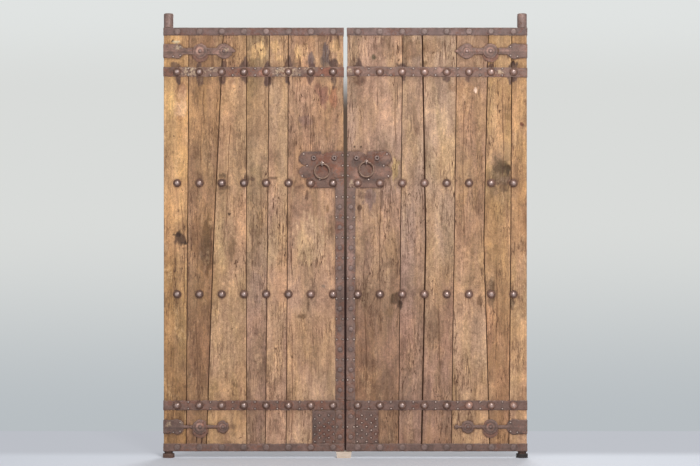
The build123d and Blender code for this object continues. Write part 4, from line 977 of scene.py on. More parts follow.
def ironSheet(sLines, aLines, field, place, seed, node="", thickness=None, ragged=1.0, relief=None, lift=None,
              cell=0.004, rust=0.0, tint=None):
    # a forged sheet: the cells of a grid that lie inside a ragged outline, with a front, a back and a rim
    s, a = np.meshgrid(sLines, aLines, indexing="ij")

    def raggedField(s, a):
        inset = iron["ragged"] * ragged * np.clip(0.7 + 0.9 * layered(s / 0.016, a / 0.016, seed, 3), 0, 3)
        bites = iron["bite"] * ragged * rise(0.45, 0.8, noise(s / 0.017, a / 0.017, seed + 5))
        return field(s, a) - inset - bites

    keep = keepCells(raggedField((s[1:, 1:] + s[:-1, :-1]) / 2, (a[1:, 1:] + a[:-1, :-1]) / 2) > 0)
    around = np.zeros(s.shape, int)
    for di in (0, 1):
        for dj in (0, 1):
            around[di:di + keep.shape[0], dj:dj + keep.shape[1]] += keep
    used, rim = around > 0, (around > 0) & (around < 4)
    sRim, aRim = s[rim], a[rim]
    startS, startA, step = sRim.copy(), aRim.copy(), 3e-4
    for _ in range(3):
        here = raggedField(sRim, aRim)
        slopeS = (raggedField(sRim + step, aRim) - raggedField(sRim - step, aRim)) / (2 * step)
        slopeA = (raggedField(sRim, aRim + step) - raggedField(sRim, aRim - step)) / (2 * step)
        steep = np.maximum(slopeS ** 2 + slopeA ** 2, 0.2)
        sRim = np.clip(sRim - here * slopeS / steep, startS - 0.6 * cell, startS + 0.6 * cell)
        aRim = np.clip(aRim - here * slopeA / steep, startA - 0.6 * cell, startA + 0.6 * cell)
    s[rim], a[rim] = sRim, aRim
    inside = np.clip(raggedField(s, a), 0, None)
    inside[rim] = 0
    s, a, inside = s[used], a[used], inside[used]
    full = np.full(s.shape, ironThickness) if thickness is None else thickness(s)
    height = full * (1 - 0.5 * (1 - np.clip(inside / iron["edgeRound"], 0, 1)) ** 2)
    height = height - iron["wave"] * (1 + layered(s / 0.03, a / 0.03, seed + 7, 2)) * np.clip(inside / 0.004, 0, 1)
    pits = rise(0.35, 0.8, noise(s / 0.006, a / 0.006, seed + 9))
    pits = pits * rise(-0.2, 0.5, noise(s / 0.05, a / 0.05, seed + 10))
    height = height - iron["pit"] * pits * ragged
    under = np.zeros(s.shape) if lift is None else lift(s, a)
    height = height + under + (0 if relief is None else relief(s, a))
    outer, normal = place(s, a)
    top = outer + normal * (height - full)[:, None]
    below = outer - normal * (full - under)[:, None]
    count = len(s)
    number = np.full(used.shape, -1)
    number[used] = np.arange(count)
    i, j = np.nonzero(keep)
    corners = [number[i, j], number[i + 1, j], number[i + 1, j + 1], number[i, j + 1]]
    padded = np.pad(keep, 1)
    outside = [~padded[i + 1, j], ~padded[i + 2, j + 1], ~padded[i + 1, j + 2], ~padded[i, j + 1]]
    faces = [np.stack(corners, axis=-1), np.stack(corners[::-1], axis=-1) + count]
    for k in range(4):
        v0, v1 = corners[k][outside[k]], corners[(k + 1) % 4][outside[k]]
        faces.append(np.stack([v1, v0, v0 + count, v1 + count], axis=-1))
    # painted shade in patches along the rim, partly a dark edge of the iron
    edgeShade = (1 - np.clip(inside / 0.005, 0, 1)) * rise(-0.5, 0.3, noise(s / 0.013, a / 0.013, seed + 11))
    wearAndHighlight = 0.55 * (1 - np.clip(inside / 0.003, 0, 1)) * rise(-0.3, 0.6, noise(s / 0.02, a / 0.02, seed + 12))
    rusty = rust + 0.35 * layered(s / 0.07, a / 0.07, seed + 13, 2)
    pale = np.zeros(count)
    common = next((shade for key, shade in ironShades.items() if node.endswith(key)), (1.0, 1.0, 1.0))
    paint = np.array(common) * (1 + 0.12 * layered(s / 0.06, a / 0.06, seed + 14, 3))[:, None]
    # tint may add painted highlight and shade, as on the ornaments' rings
    if tint is not None:
        paint = paint * tint(s, a)[:, None]
    if node:
        paint = paint * (1 - headShade(node.split("_")[0], top[:, 0], top[:, 2]))[:, None]
    for *places, kind in ironMarks.get(node, []):
        mx, mz, halfWidth, halfHeight = (v / 1000 for v in places)
        away = np.hypot((top[:, 0] - mx) / halfWidth, (top[:, 2] - mz) / halfHeight)
        away = away * (1 + 0.3 * noise(s / 0.012, a / 0.012, seed + 15))
        strength = (1 - rise(0.4, 1.3, away)) * (top[:, 1] < 0)
        if kind == "pale":
            pale = np.maximum(pale, 0.8 * strength)
        elif kind == "rust":
            rusty = rusty + 0.3 * strength
            paint = paint * (1 + (np.array([1.07, 0.93, 0.86]) - 1) * strength[:, None])
        # bright patches: lighter iron, partly a painted sheen
        elif kind == "bright":
            paint = paint * (1 + 0.65 * strength[:, None])
        else:
            paint = paint * (1 - 0.42 * strength[:, None])
    paint = paint * (1 - 0.35 * pits[:, None]) * (1 - 0.5 * edgeShade[:, None])
    marks = np.clip(np.column_stack([wearAndHighlight, np.clip(rusty, -0.3, 1), pale]), 0, 1)
    points = np.concatenate([top, below])
    values = {"paint": np.concatenate([paint, paint * 0.8]), "marks": np.concatenate([marks, marks])}
    return points, facesOutward(points, faces), values


def edgeSheet(side, node, front, sRange, aRange, field, cell, seed, **more):
    # a sheet that may come round the meeting edge or the outer edge; s is the distance from the centre line
    sign = sideSigns[side]
    middle = meetAt(sum(aRange) / 2)
    bend = iron["bend"]
    tilt = more.pop("tilt", 0.0)

    def place(s, a):
        along, depth, outAlong, outDepth = foldOver(s, middle, leafHalf, front, ironBack, bend)
        lean = meetAt(a) - middle
        points = np.column_stack([sign * (along + lean * (along < 0.5)), depth, a - tilt * (along - leafHalf / 2)])
        return points, np.column_stack([sign * outAlong, outDepth, np.zeros(len(s))])

    sLines = foldLines(*sRange, middle, leafHalf, front, ironBack, bend, cell)
    aLines = np.linspace(*aRange, max(2, int(round((aRange[1] - aRange[0]) / cell))) + 1)
    return ironSheet(sLines, aLines, field, place, seed, node, cell=cell, **more)


def finishIron(node, side, parts):
    piece = makePiece(f"{node}_forged", *joinParts(parts), irons["rustedStrapIron"])
    piece.data.set_sharp_from_angle(angle=math.radians(48))
    giveTo(piece, f"{side}_leaf", "rusty_iron", node)


def makeStudStrap(side, level, seed, tilt):
    node = f"{side}_{level}_stud_strap"
    low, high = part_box(node)
    middle = meetAt((low.z + high.z) / 2)
    backs = faceOutlines(node, ironBack)
    reaches = sorted(np.ptp(line[:, 0]) for line in backs)
    start = foldReach(middle, -1, reaches[0], ironFront, ironBack, iron["bend"])
    end = foldReach(leafHalf, 1, reaches[-1], ironFront, ironBack, iron["bend"])

    def field(s, a):
        return boxField(s, a, start, end, low.z, high.z)

    part = edgeSheet(side, node, ironFront, (start, end), (low.z, high.z), field, iron["strapCell"], seed, tilt=tilt,
                     rust=0.15 if side == "left" else 0.0, ragged=1.3)
    finishIron(node, side, [part])


def makeEdgeStrap(side, seed):
    node = f"{side}_edge_strap"
    onBack = faceOutlines(node, ironBack)[0]
    parts = []
    for line in faceOutlines(node, ironFront):
        low, high = line[:, 1].min(), line[:, 1].max()
        middle = meetAt((low + high) / 2)
        width = np.abs(line[:, 0]).max() - meetAt(high)
        reach = np.abs(onBack[:, 0]).max() - meetAt(onBack[:, 1].max())
        start = foldReach(middle, -1, reach, ironFront, ironBack, iron["bend"])

        def field(s, a, start=start, end=middle + width, low=low, high=high):
            return boxField(s, a, start, end, low, high)

        parts.append(edgeSheet(side, node, ironFront, (start, middle + width), (low, high), field, iron["strapCell"],
                               seed + len(parts), rust=0.2 if side == "left" else 0.0))
    finishIron(node, side, parts)


def makeLockPlate(side, seed):
    node = f"{side}_lock_plate"
    sign = sideSigns[side]
    outline = faceOutlines(node, ironFront)[0]
    onBack = faceOutlines(node, ironBack)[0]
    low, high = outline[:, 1].min(), outline[:, 1].max()
    middle = meetAt((low + high) / 2)
    backLow, backHigh = onBack[:, 1].min(), onBack[:, 1].max()
    reach = np.abs(onBack[:, 0]).max() - meetAt(backHigh)
    start = foldReach(middle, -1, reach, ironFront, ironBack, iron["bend"])

    def field(s, a):
        front = outlineField(outline, sign * (s + meetAt(a) - middle), a)
        return np.maximum(front, boxField(s, a, start, middle + 0.012, backLow, backHigh))

    part = edgeSheet(side, node, ironFront, (start, np.abs(outline[:, 0]).max()), (low, high), field,
                     iron["plateCell"], seed, ragged=1.5 if side == "left" else 1.0,
                     rust=0.1 if side == "left" else 0.0)
    finishIron(node, side, [part])


def makeCornerPlate(side, seed):
    node = f"{side}_corner_plate"
    sign = sideSigns[side]
    outline = faceOutlines(node, ironFront)[0]
    near, far = np.abs(outline[:, 0]).min(), np.abs(outline[:, 0]).max()
    low, high = outline[:, 1].min(), outline[:, 1].max()

    def field(s, a):
        return outlineField(outline, sign * s, a)

    part = edgeSheet(side, node, ironFront, (near, far), (low, high), field, iron["plateCell"], seed,
                     ragged=1.5 if side == "left" else 0.8, rust=0.1)
    finishIron(node, side, [part])


def lobeMiddles(side):
    # middles of the ornaments' lobes, where their nails stand proud of all other iron
    return [(x, z) for x, z, _, seat, _ in heads[side]["nails"] if seat < ironFront - 0.0005]


def makeOrnament(side, level, seed):
    node = f"{side}_{level}_ornament"
    sign = sideSigns[side]
    low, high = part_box(node)
    raised = low.y
    front = outlineDepths[f"{level}_ornament"]
    flats = faceOutlines(node, front) + faceOutlines(node, raised)
    lobe = faceOutlines(node, raised)[0]
    lobeMiddle = (lobe.min(axis=0) + lobe.max(axis=0)) / 2
    lobeReach = np.ptp(lobe[:, 0]) / 2
    lobeRise = front - raised
    proud = [m for m in lobeMiddles(side) if low.z < m[1] < high.z and abs(m[0] - lobeMiddle[0]) > 0.02]
    endMiddle = proud[0]
    backs = faceOutlines(node, ironBack)[0]
    backLow, backHigh = backs[:, 1].min(), backs[:, 1].max()
    end = foldReach(leafHalf, 1, np.ptp(backs[:, 0]), front, ironBack, iron["bend"])
    start = min(np.abs(line[:, 0]).min() for line in flats)
    tone = {"left": 2.0, "right": 1.0}[side]

    def field(s, a):
        x = sign * s
        shape = boxField(s, a, leafHalf - 0.02, end, backLow, backHigh)
        for line in flats:
            shape = np.maximum(shape, outlineField(line, x, a) + 0.0009)
        return shape

    def raisedShare(s, a):
        away = np.hypot(sign * s - lobeMiddle[0], a - lobeMiddle[1])
        return 1 - rise(lobeReach - 0.002, lobeReach + 0.003, away)

    def relief(s, a):
        x = sign * s
        away = np.hypot(x - lobeMiddle[0], a - lobeMiddle[1])
        rings = 0.0006 * np.cos(np.clip(away / lobeReach, 0, 1) * 3 * math.pi) * (away < lobeReach)
        tip = np.hypot(x - endMiddle[0], a - endMiddle[1])
        disc = 0.0015 * (1 - rise(0.026, 0.030, tip)) - 0.0010 * np.exp(-((tip - 0.021) / 0.003) ** 2)
        dome = 0.0004 * (1 - rise(0.0, 0.042, tip))
        between = (away > lobeReach) & (tip > 0.03) & (np.abs(x) < np.abs(lobeMiddle[0]) + 0.12)
        ridge = 0.0012 * np.exp(-((a - lobeMiddle[1]) / 0.009) ** 2) * between
        return np.clip(rings + disc + dome + ridge, -0.0012, 0.0016)

    def thick(s):
        return np.where(s > leafHalf - iron["bend"], ironThickness, boardFront - front)

    def tint(s, a):
        # painted highlight and shade: the hammered rings get light crests and dark hollows, lighter on their upper left
        # side as if lit from there, darker at each middle, with a light line above the bar and a dark one below
        x = sign * s
        shade = np.ones(len(s))
        for middle, reach in ((lobeMiddle, lobeReach), (endMiddle, 0.034)):
            away = np.hypot(x - middle[0], a - middle[1]) / reach
            facing = 0.5 + 0.5 * ((a - middle[1]) - (x - middle[0])) / (reach * np.maximum(away, 0.2)) / 1.5
            shade += (ringLightAndShade["light"] - 1) * np.exp(-((away - 0.42) / 0.12) ** 2) * facing
            shade -= ringLightAndShade["hollow"] * np.exp(-((away - 0.66) / 0.10) ** 2) * (1 - 0.5 * facing)
            shade += 0.50 * np.exp(-((away - 0.90) / 0.08) ** 2) * facing
            shade -= 0.35 * np.exp(-(away / 0.14) ** 2)
        barHighlight = np.exp(-((a - lobeMiddle[1] - 0.003) / 0.004) ** 2)
        return shade * (1 + 0.25 * barHighlight - 0.25 * np.exp(-((a - lobeMiddle[1] + 0.008) / 0.004) ** 2))

    part = edgeSheet(side, node, front, (start, end), (low.z, high.z), field, iron["plateCell"], seed, ragged=tone,
                     tint=tint, relief=relief, lift=lambda s, a: lobeRise * raisedShare(s, a), thickness=thick,
                     rust=-0.15)
    finishIron(node, side, [part])


def makeBackingDiscs(side, seed):
    node = f"{side}_backing_discs"
    sign = sideSigns[side]
    parts = []
    for line in faceOutlines(node, ironFront):
        middle = (line.min(axis=0) + line.max(axis=0)) / 2
        reach = np.ptp(line[:, 0]) / 2

        def field(s, a, middle=middle, reach=reach):
            return reach - np.hypot(sign * s - middle[0], a - middle[1])

        parts.append(edgeSheet(side, node, ironFront, tuple(sorted(np.abs([middle[0] - reach, middle[0] + reach]))),
                               (middle[1] - reach, middle[1] + reach), field, iron["plateCell"], seed + len(parts),
                               ragged=0.9, rust=0.5))
    finishIron(node, side, parts)


def makeEndStrap(side, level, seed):
    # folded over the leaf's top or bottom, with a plate across each end
    node = f"{side}_{level}_strap"
    sign = sideSigns[side]
    low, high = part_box(node)
    top = level == "top"
    edge, way = (high.z, 1) if top else (low.z, -1)
    front = low.z if top else high.z
    end = foldReach(edge, way, high.z - low.z, ironFront, ironBack, iron["bend"])
    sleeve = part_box(f"{side}_top_pin_sleeve" if top else f"{side}_bottom_pin_shoe")
    pinX = (sleeve[0].x + sleeve[1].x) / 2
    pinReach = (0.0253 if top else 0.0213)
    limits = (-9.0, edge) if top else (edge, 9.0)
    inner, outer = meetAt((low.z + high.z) / 2), leafHalf

    def place(s, a):
        along, depth, outAlong, outDepth = foldOver(s, *limits, ironFront, ironBack, iron["bend"])
        return (np.column_stack([sign * a, depth, along]),
                np.column_stack([np.zeros(len(s)), outDepth, outAlong]))

    def field(s, a):
        _, depth, outAlong, _ = foldOver(s, *limits, ironFront, ironBack, iron["bend"])
        shape = boxField(s, a, min(front, end), max(front, end), inner, outer)
        hole = np.where(np.abs(outAlong) > 0.8, np.hypot(sign * a - pinX, depth) - pinReach, 1.0)
        return np.minimum(shape, hole)

    sLines = foldLines(min(front, end), max(front, end), *limits, ironFront, ironBack, iron["bend"], iron["strapCell"])
    aLines = np.linspace(inner, outer, int(round((outer - inner) / 0.0045)) + 1)
    parts = [ironSheet(sLines, aLines, field, place, seed, node, cell=0.004, ragged=0.9,
                       rust=0.1 if side == "left" else 0.0)]
    for u, out in ((outer, sign), (inner, -sign)):
        def endPlace(s, a, u=u, out=out):
            return np.column_stack([np.full(len(s), sign * u), s, a]), np.tile([out, 0.0, 0.0], (len(s), 1))

        def endField(s, a):
            return boxField(s, a, boardFront + 0.0002, boardBack - 0.0002, low.z + 0.0006, high.z - 0.0006) + 0.0006

        ys, zs = np.linspace(boardFront, boardBack, 15), np.linspace(low.z, high.z, 13)
        parts.append(ironSheet(ys, zs, endField, endPlace, seed + 3 + len(parts), node, cell=0.004, ragged=0.5))
    finishIron(node, side, parts)


headPlaces = {side: [(x, z, radius, strength) for kind, strength in (("tacks", 0.55), ("nails", 0.4))
                     for x, z, _, _, radius in heads[side][kind]] for side in sideSigns}
for number, side in enumerate(sideSigns):
    makeEndStrap(side, "top", 300 + 60 * number)
    makeEndStrap(side, "bottom", 310 + 60 * number)
    makeStudStrap(side, "upper", 320 + 60 * number, 0.0 if side == "left" else 0.0075)
    makeStudStrap(side, "lower", 325 + 60 * number, 0.0)
    makeEdgeStrap(side, 330 + 60 * number)
    makeLockPlate(side, 335 + 60 * number)
    makeCornerPlate(side, 340 + 60 * number)
    makeOrnament(side, "top", 345 + 60 * number)
    makeOrnament(side, "bottom", 350 + 60 * number)
    makeBackingDiscs(side, 355 + 60 * number)
print("iron made")


headLook = {"domeSpread": 0.03, "tackSpread": 0.10, "nailSpread": 0.05, "tilt": 0.05, "wobble": 0.0008, "shade": 0.18}


def capProfile(roundness, rimShare, count, flat=0.0):
    # radius and height of a head from its crown to its rim, both as shares of the whole
    radii = np.linspace(flat, 1, count)
    reach = 1 - flat
    bow = np.sqrt(roundness ** 2 - ((radii - flat) / reach) ** 2) - math.sqrt(roundness ** 2 - 1)
    heights = rimShare + (1 - rimShare) * bow / (roundness - math.sqrt(roundness ** 2 - 1))
    start = [(0.0, 1.0)] + ([(flat * 0.5, 1.0)] if flat else [])
    skip = 0 if flat else 1
    return start + list(zip(radii[skip:], heights[skip:])) + [(1.0, rimShare * 0.4), (0.97, -0.04), (0.0, -0.04)]


def headObject(name, profile, segments, closed=False, wearAndHighlight=0.95):
    # a turned head around the Y axis with its face towards -Y, used only as a pattern
    turns = fullTurn(segments)
    rings = profile if closed else profile[1:-1]
    points = np.array([(r * math.cos(t), -h, r * math.sin(t)) for r, h in rings for t in turns])
    if not closed:
        points = np.concatenate([points, [(0, -profile[0][1], 0), (0, -profile[-1][1], 0)]])
    # painted highlight: the crown is marked to take the bright colour; painted shade, partly rust: the low rim is
    # marked to take the rust colour
    crownHighlight, low = rise(0.80, 1.0, -points[:, 1]), 1 - rise(0.05, 0.75, -points[:, 1])
    faces = facesOutward(points, tubeFaces(len(rings), segments, closed))
    marks = np.column_stack([wearAndHighlight * crownHighlight, 1.0 * low, np.zeros(len(points))])
    pattern = makePiece(name, points, faces, {"marks": marks}, irons["wornStudIron"])
    pattern.hide_render = pattern.hide_viewport = True
    return pattern


def makeScatterTree():
    # one head on every point, with its own size, turn and shade
    tree = bpy.data.node_groups.new("scatterHeads", "GeometryNodeTree")
    for name, kind, value in (("Geometry", "NodeSocketGeometry", None), ("Head", "NodeSocketObject", None),
                              ("Size Spread", "NodeSocketFloat", 0.05), ("Tilt", "NodeSocketFloat", 0.05),
                              ("Wobble", "NodeSocketFloat", 0.0005), ("Shade Spread", "NodeSocketFloat", 0.15),
                              ("Seed", "NodeSocketInt", 1), ("Material", "NodeSocketMaterial", None)):
        socket = tree.interface.new_socket(name, in_out="INPUT", socket_type=kind)
        if value is not None:
            socket.default_value = value
    tree.interface.new_socket("Geometry", in_out="OUTPUT", socket_type="NodeSocketGeometry")
    source, end = tree.nodes.new("NodeGroupInput").outputs, tree.nodes.new("NodeGroupOutput")

    def node(kind, settings=None, **inputs):
        return addNode(tree, kind, settings, **inputs).outputs

    def named(name, kind="FLOAT_VECTOR"):
        return node("GeometryNodeInputNamedAttribute", {"data_type": kind}, Name=name)[0]

    def randomValue(kind, low, high, seedShift):
        value = addNode(tree, "FunctionNodeRandomValue", {"data_type": kind})
        first = 0 if kind == "FLOAT_VECTOR" else 2
        feed(tree, value.inputs[first], low)
        feed(tree, value.inputs[first + 1], high)
        feed(tree, value.inputs["Seed"], maths(tree, "ADD", source["Seed"], float(seedShift)))
        return value.outputs[0 if kind == "FLOAT_VECTOR" else 1]

    head = node("GeometryNodeObjectInfo", Object=source["Head"])["Geometry"]
    spread = randomValue("FLOAT", maths(tree, "SUBTRACT", 1.0, source["Size Spread"]), 1.0, 0)
    lean = scaled(tree, randomValue("FLOAT_VECTOR", (-1, -1, -1), (1, 1, 1), 1), source["Tilt"])
    spin = randomValue("FLOAT_VECTOR", (0, -3.14, 0), (0, 3.14, 0), 2)
    turn = vectorMaths(tree, "ADD", vectorMaths(tree, "ADD", lean, spin), named("facing"))
    turn = node("FunctionNodeEulerToRotation", i0=turn)[0]
    placed = node("GeometryNodeInstanceOnPoints", Points=source["Geometry"], Instance=head, Rotation=turn,
                  Scale=scaled(tree, named("headSize"), spread))[0]
    dark, light = (maths(tree, operation, 1.0, source["Shade Spread"]) for operation in ("SUBTRACT", "ADD"))
    shade = times(tree, randomValue("FLOAT", dark, light, 3), named("tone", "FLOAT"))
    stored = node("GeometryNodeStoreNamedAttribute", {"data_type": "FLOAT_COLOR", "domain": "INSTANCE"},
                  Geometry=placed, Name="paint", Value=together(tree, shade, shade, shade))[0]
    real = node("GeometryNodeRealizeInstances", Geometry=stored)[0]
    bumps = node("ShaderNodeTexNoise", Vector=node("GeometryNodeInputPosition")[0], Scale=90.0, Detail=2.0)["Color"]
    offset = scaled(tree, vectorMaths(tree, "SUBTRACT", bumps, (0.5, 0.5, 0.5)), source["Wobble"])
    moved = node("GeometryNodeSetPosition", Geometry=real, Offset=offset)[0]
    smooth = node("GeometryNodeSetShadeSmooth", i0=moved)[0]
    done = node("GeometryNodeSetMaterial", Geometry=smooth, Material=source["Material"])[0]
    tree.links.new(done, end.inputs[0])
    return tree


scatterTree = makeScatterTree()
# tones above 1 lighten heads that shine in front: partly their own lighter iron, partly a painted highlight
headTones = [  # part of a name, box as x and z from low to high, how light the heads in it are; the first is used
    ("right_dome", (0.7, 0.2, 1.1, 0.4), 1.7), ("right_dome", (0, 2.2, 1.1, 2.4), 1.35),
    ("right_nails", (0.5, 2.4, 0.9, 2.5), 1.9), ("left_nails", (-1.1, 2.4, -0.7, 2.5), 1.3),
    ("_nails", (-1.1, 2.55, 1.1, 2.7), 0.85), ("_nails", (-1.1, 0, 1.1, 0.1), 0.85),
    ("right_dome", (0, 1.6, 0.25, 1.7), 1.35), ("left_dome", (-0.2, 1.6, 0, 1.7), 0.85),
    ("left_dome", (-1.1, 0.2, 0, 0.4), 0.8), ("left_dome", (-1.1, 0.9, 0, 1.1), 0.84),
    ("left_dome", (-0.8, 1.6, -0.2, 1.7), 0.84), ("left_dome", (-1.1, 2.2, 0, 2.4), 0.92),
    ("left_nails", (-0.1, 0.3, 0, 1.5), 0.75), ("left_tacks", (-1.1, 0, 0, 1.5), 0.5),
    ("left_tacks", (-1.1, 2.2, 0, 2.6), 0.75), ("right_tacks", (0, 0, 1.1, 0.4), 0.95),
    ("right_tacks", (0, 1.6, 0.3, 1.9), 1.15), ("right_tacks", (0, 2.2, 1.1, 2.6), 0.85),
    ("right_nails", (0.5, 0, 1.1, 0.2), 1.35),
]


def headTone(name, x, z):
    fitting = (tone for key, (x0, z0, x1, z1), tone in headTones if key in name and x0 < x < x1 and z0 < z < z1)
    return next(fitting, 1.0)


def scatterHeads(name, side, places, sizes, facing, head, spread, seed, material, slotName, replaced=()):
    # places are x, y, z; sizes are radius, height, radius
    points = np.array(places, float)
    mesh = bpy.data.meshes.new(f"{name}_points")
    mesh.from_pydata([tuple(p) for p in points], [], [])
    for key, values in (("headSize", sizes), ("facing", np.tile(facing, (len(points), 1)))):
        layer = mesh.attributes.new(key, "FLOAT_VECTOR", "POINT")
        layer.data.foreach_set("vector", np.array(values, np.float32).ravel())
    tones = mesh.attributes.new("tone", "FLOAT", "POINT")
    tones.data.foreach_set("value", [headTone(name, x, z) for x, _, z in points])
    holder = bpy.data.objects.new(f"{name}_points", mesh)
    bpy.context.scene.collection.objects.link(holder)
    modifier = holder.modifiers.new("heads", "NODES")
    modifier.node_group = scatterTree
    sockets = {item.name: item.identifier for item in scatterTree.interface.items_tree if item.in_out == "INPUT"}
    for key, value in (("Head", head), ("Size Spread", spread), ("Tilt", headLook["tilt"]), ("Seed", seed),
                       ("Wobble", headLook["wobble"]), ("Shade Spread", headLook["shade"]), ("Material", material)):
        modifier[sockets[key]] = value
    bpy.context.view_layer.update()
    result = bpy.data.meshes.new_from_object(holder.evaluated_get(bpy.context.evaluated_depsgraph_get()))
    bpy.data.objects.remove(holder)
    result.name = name
    piece = bpy.data.objects.new(name, result)
    bpy.context.scene.collection.objects.link(piece)
    return giveTo(piece, f"{side}_leaf", slotName, *replaced)


domeHead = headObject("domePattern", capProfile(1.083, 0.12, 13), 36)
nailHead = headObject("nailPattern", capProfile(1.25, 0.25, 7, 0.5), 28, wearAndHighlight=0.12)
tackHead = headObject("tackPattern", capProfile(1.10, 0.12, 6), 16)
peenHead = headObject("peenPattern", capProfile(1.4, 0.35, 5, 0.35), 18)
bossHead = headObject("bossPattern", [(0.36, -0.02), (0.36, 0.5), (0.36, 0.9), (0.42, 1.0), (0.56, 1.0), (0.68, 0.94),
                                      (0.84, 0.74), (0.95, 0.48), (1.0, 0.25), (1.0, 0.05), (0.98, -0.02)], 32, True)


def makeHeads(side, seed):
    stood = (0.0, 0.0, 0.0)
    for node, head, spread, slotName, kind in (
            ("dome_studs", domeHead, "domeSpread", "stud_iron", "wornStudIron"),
            ("nails", nailHead, "nailSpread", "rusty_iron", "flatNailIron"),
            ("tacks", tackHead, "tackSpread", "rusty_iron", "tackIron"),
            ("bosses", bossHead, "nailSpread", "rusty_iron", "flatNailIron")):
        spots = heads[side][node]
        places = [(x, seat + 0.0002, z) for x, z, top, seat, radius in spots]
        sizes = [(radius, seat - top, radius) for x, z, top, seat, radius in spots]
        scatterHeads(f"{side}_{node}_heads", side, places, sizes, stood, head, headLook[spread], seed, irons[kind],
                     slotName, (f"{side}_{node}",))
        seed += 1
        print(side, node, len(spots))
    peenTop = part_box(f"{side}_dome_studs")[1].y
    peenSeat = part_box(f"{side}_top_batten")[1].y
    studs = heads[side]["dome_studs"]
    places = [(x, peenSeat - 0.0002, z) for x, z, *_ in studs]
    sizes = [(0.009, peenTop - peenSeat, 0.009)] * len(studs)
    scatterHeads(f"{side}_stud_peens", side, places, sizes, (0.0, 0.0, math.pi), peenHead, 0.12, seed,
                 irons["flatNailIron"], "stud_iron")


for number, side in enumerate(sideSigns):
    makeHeads(side, 500 + 20 * number)
print("heads made")


ringLook = {"wireSegments": 18, "turns": 132, "uneven": 0.0004, "wornTop": 0.82, "eyeWire": 0.004, "collar": 0.012}


def bentWire(path, radii, segments, closed, tints):
    # a tube along points, with its own radius at each
    path = np.asarray(path, float)
    count = len(path)
    ahead = np.roll(path, -1, axis=0) - np.roll(path, 1, axis=0)
    if not closed:
        ahead[0], ahead[-1] = path[1] - path[0], path[-1] - path[-2]
    ahead /= np.linalg.norm(ahead, axis=1)[:, None]
    axis = np.array([0.0, 1.0, 0.0]) if abs(np.mean(np.abs(ahead[:, 1]))) < 0.3 else np.array([1.0, 0.0, 0.0])
    across = np.cross(ahead, axis)
    across /= np.linalg.norm(across, axis=1)[:, None]
    up = np.cross(across, ahead)
    turns = fullTurn(segments)
    points = (path[:, None, :] + radii[:, None, None] * (np.cos(turns)[None, :, None] * across[:, None, :]
                                                         + np.sin(turns)[None, :, None] * up[:, None, :]))
    points = points.reshape(-1, 3)
    if not closed:
        points = np.concatenate([points, path[[0, -1]]])
    faces = tubeFaces(count, segments, closed)
    paint = np.tile(np.asarray(tints, float), (len(points), 1))
    grain = 1 + 0.15 * noise(points[:, 0] / 0.01, points[:, 2] / 0.01, 77)
    wearAndHighlight = 0.25 + 0.3 * noise(points[:, 0] / 0.014, points[:, 2] / 0.014, 78)
    marks = np.column_stack([wearAndHighlight, 0.25 * np.ones(len(points)), np.zeros(len(points))])
    return points, facesOutward(points, faces), {"paint": paint * grain[:, None], "marks": marks}


def makeRing(side, seed):
    node = f"{side}_ring_pull"
    low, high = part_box(node)
    x, y, z = (low + high) / 2
    wire = (high.y - low.y) / 2
    reach = (high.x - low.x) / 2 - wire
    turns = fullTurn(ringLook["turns"])  # from the top, round
    uneven = 1 - 0.010 * (1 + noise(turns * 1.3, 0, seed)) * (1 - np.cos(turns)) / 2
    path = np.column_stack([x + reach * uneven * np.sin(turns), np.full(len(turns), y),
                            z + reach * uneven * np.cos(turns)])
    radii = wire * (0.93 + 0.05 * noise(turns * 4, 0, seed + 1))
    radii = radii * (1 - (1 - ringLook["wornTop"]) * np.exp(-((np.minimum(turns, 2 * math.pi - turns)) / 0.3) ** 2))
    radii = radii * (1 + 0.06 * np.exp(-((turns - 3.6) / 0.12) ** 2))  # where its ends were welded
    wire = bentWire(path, radii, ringLook["wireSegments"], True, (1, 1, 1))
    piece = makePiece(f"{node}_forged", *wire, irons["ringIron"])
    giveTo(piece, f"{side}_ring", "stud_iron", node)


def makeEye(side, seed):
    node = f"{side}_ring_eye"
    low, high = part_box(node)
    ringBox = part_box(f"{side}_ring_pull")
    y = (ringBox[0].y + ringBox[1].y) / 2
    x, z = (low.x + high.x) / 2, (low.z + high.z) / 2
    wire = ringLook["eyeWire"]
    reach = y - low.y - wire
    turns = fullTurn(60)
    path = np.column_stack([np.full(60, x), y + reach * np.cos(turns), z + reach * np.sin(turns)])
    loop = bentWire(path, wire * (0.96 + 0.03 * noise(turns * 3, 0, seed)), 16, True, (1.35, 1.3, 1.25))

    def turned(depths, radii, segments, tints=(1, 1, 1)):
        return bentWire([(x, depth, z) for depth in depths], np.array(radii), segments, False, tints)

    shank = turned([y + reach - 0.001, y + reach + 0.003, boardBack, high.y - 0.0012],
                   [0.0042, 0.0041, 0.004, 0.004], 16)
    collar = turned(ironFront + np.array([-0.0020, -0.0016, -0.0004, 0.0006]),
                    ringLook["collar"] * np.array([0.62, 0.88, 1.0, 1.0]), 28, (1.1, 1.05, 1.0))
    peen = turned([boardBack - 0.0003, boardBack + 0.0012, boardBack + 0.0024, high.y],
                  [0.009, 0.0088, 0.0072, 0.0035], 24)
    piece = makePiece(f"{node}_forged", *joinParts([loop, shank, collar, peen]), irons["eyeIron"])
    giveTo(piece, f"{side}_leaf", "rusty_iron", node)


for number, side in enumerate(sideSigns):
    makeRing(side, 600 + number)
    makeEye(side, 610 + number)
print("rings made")


batten = {"station": 0.011, "wear": 0.0045, "wave": 0.0010, "tint": (146, 116, 90)}


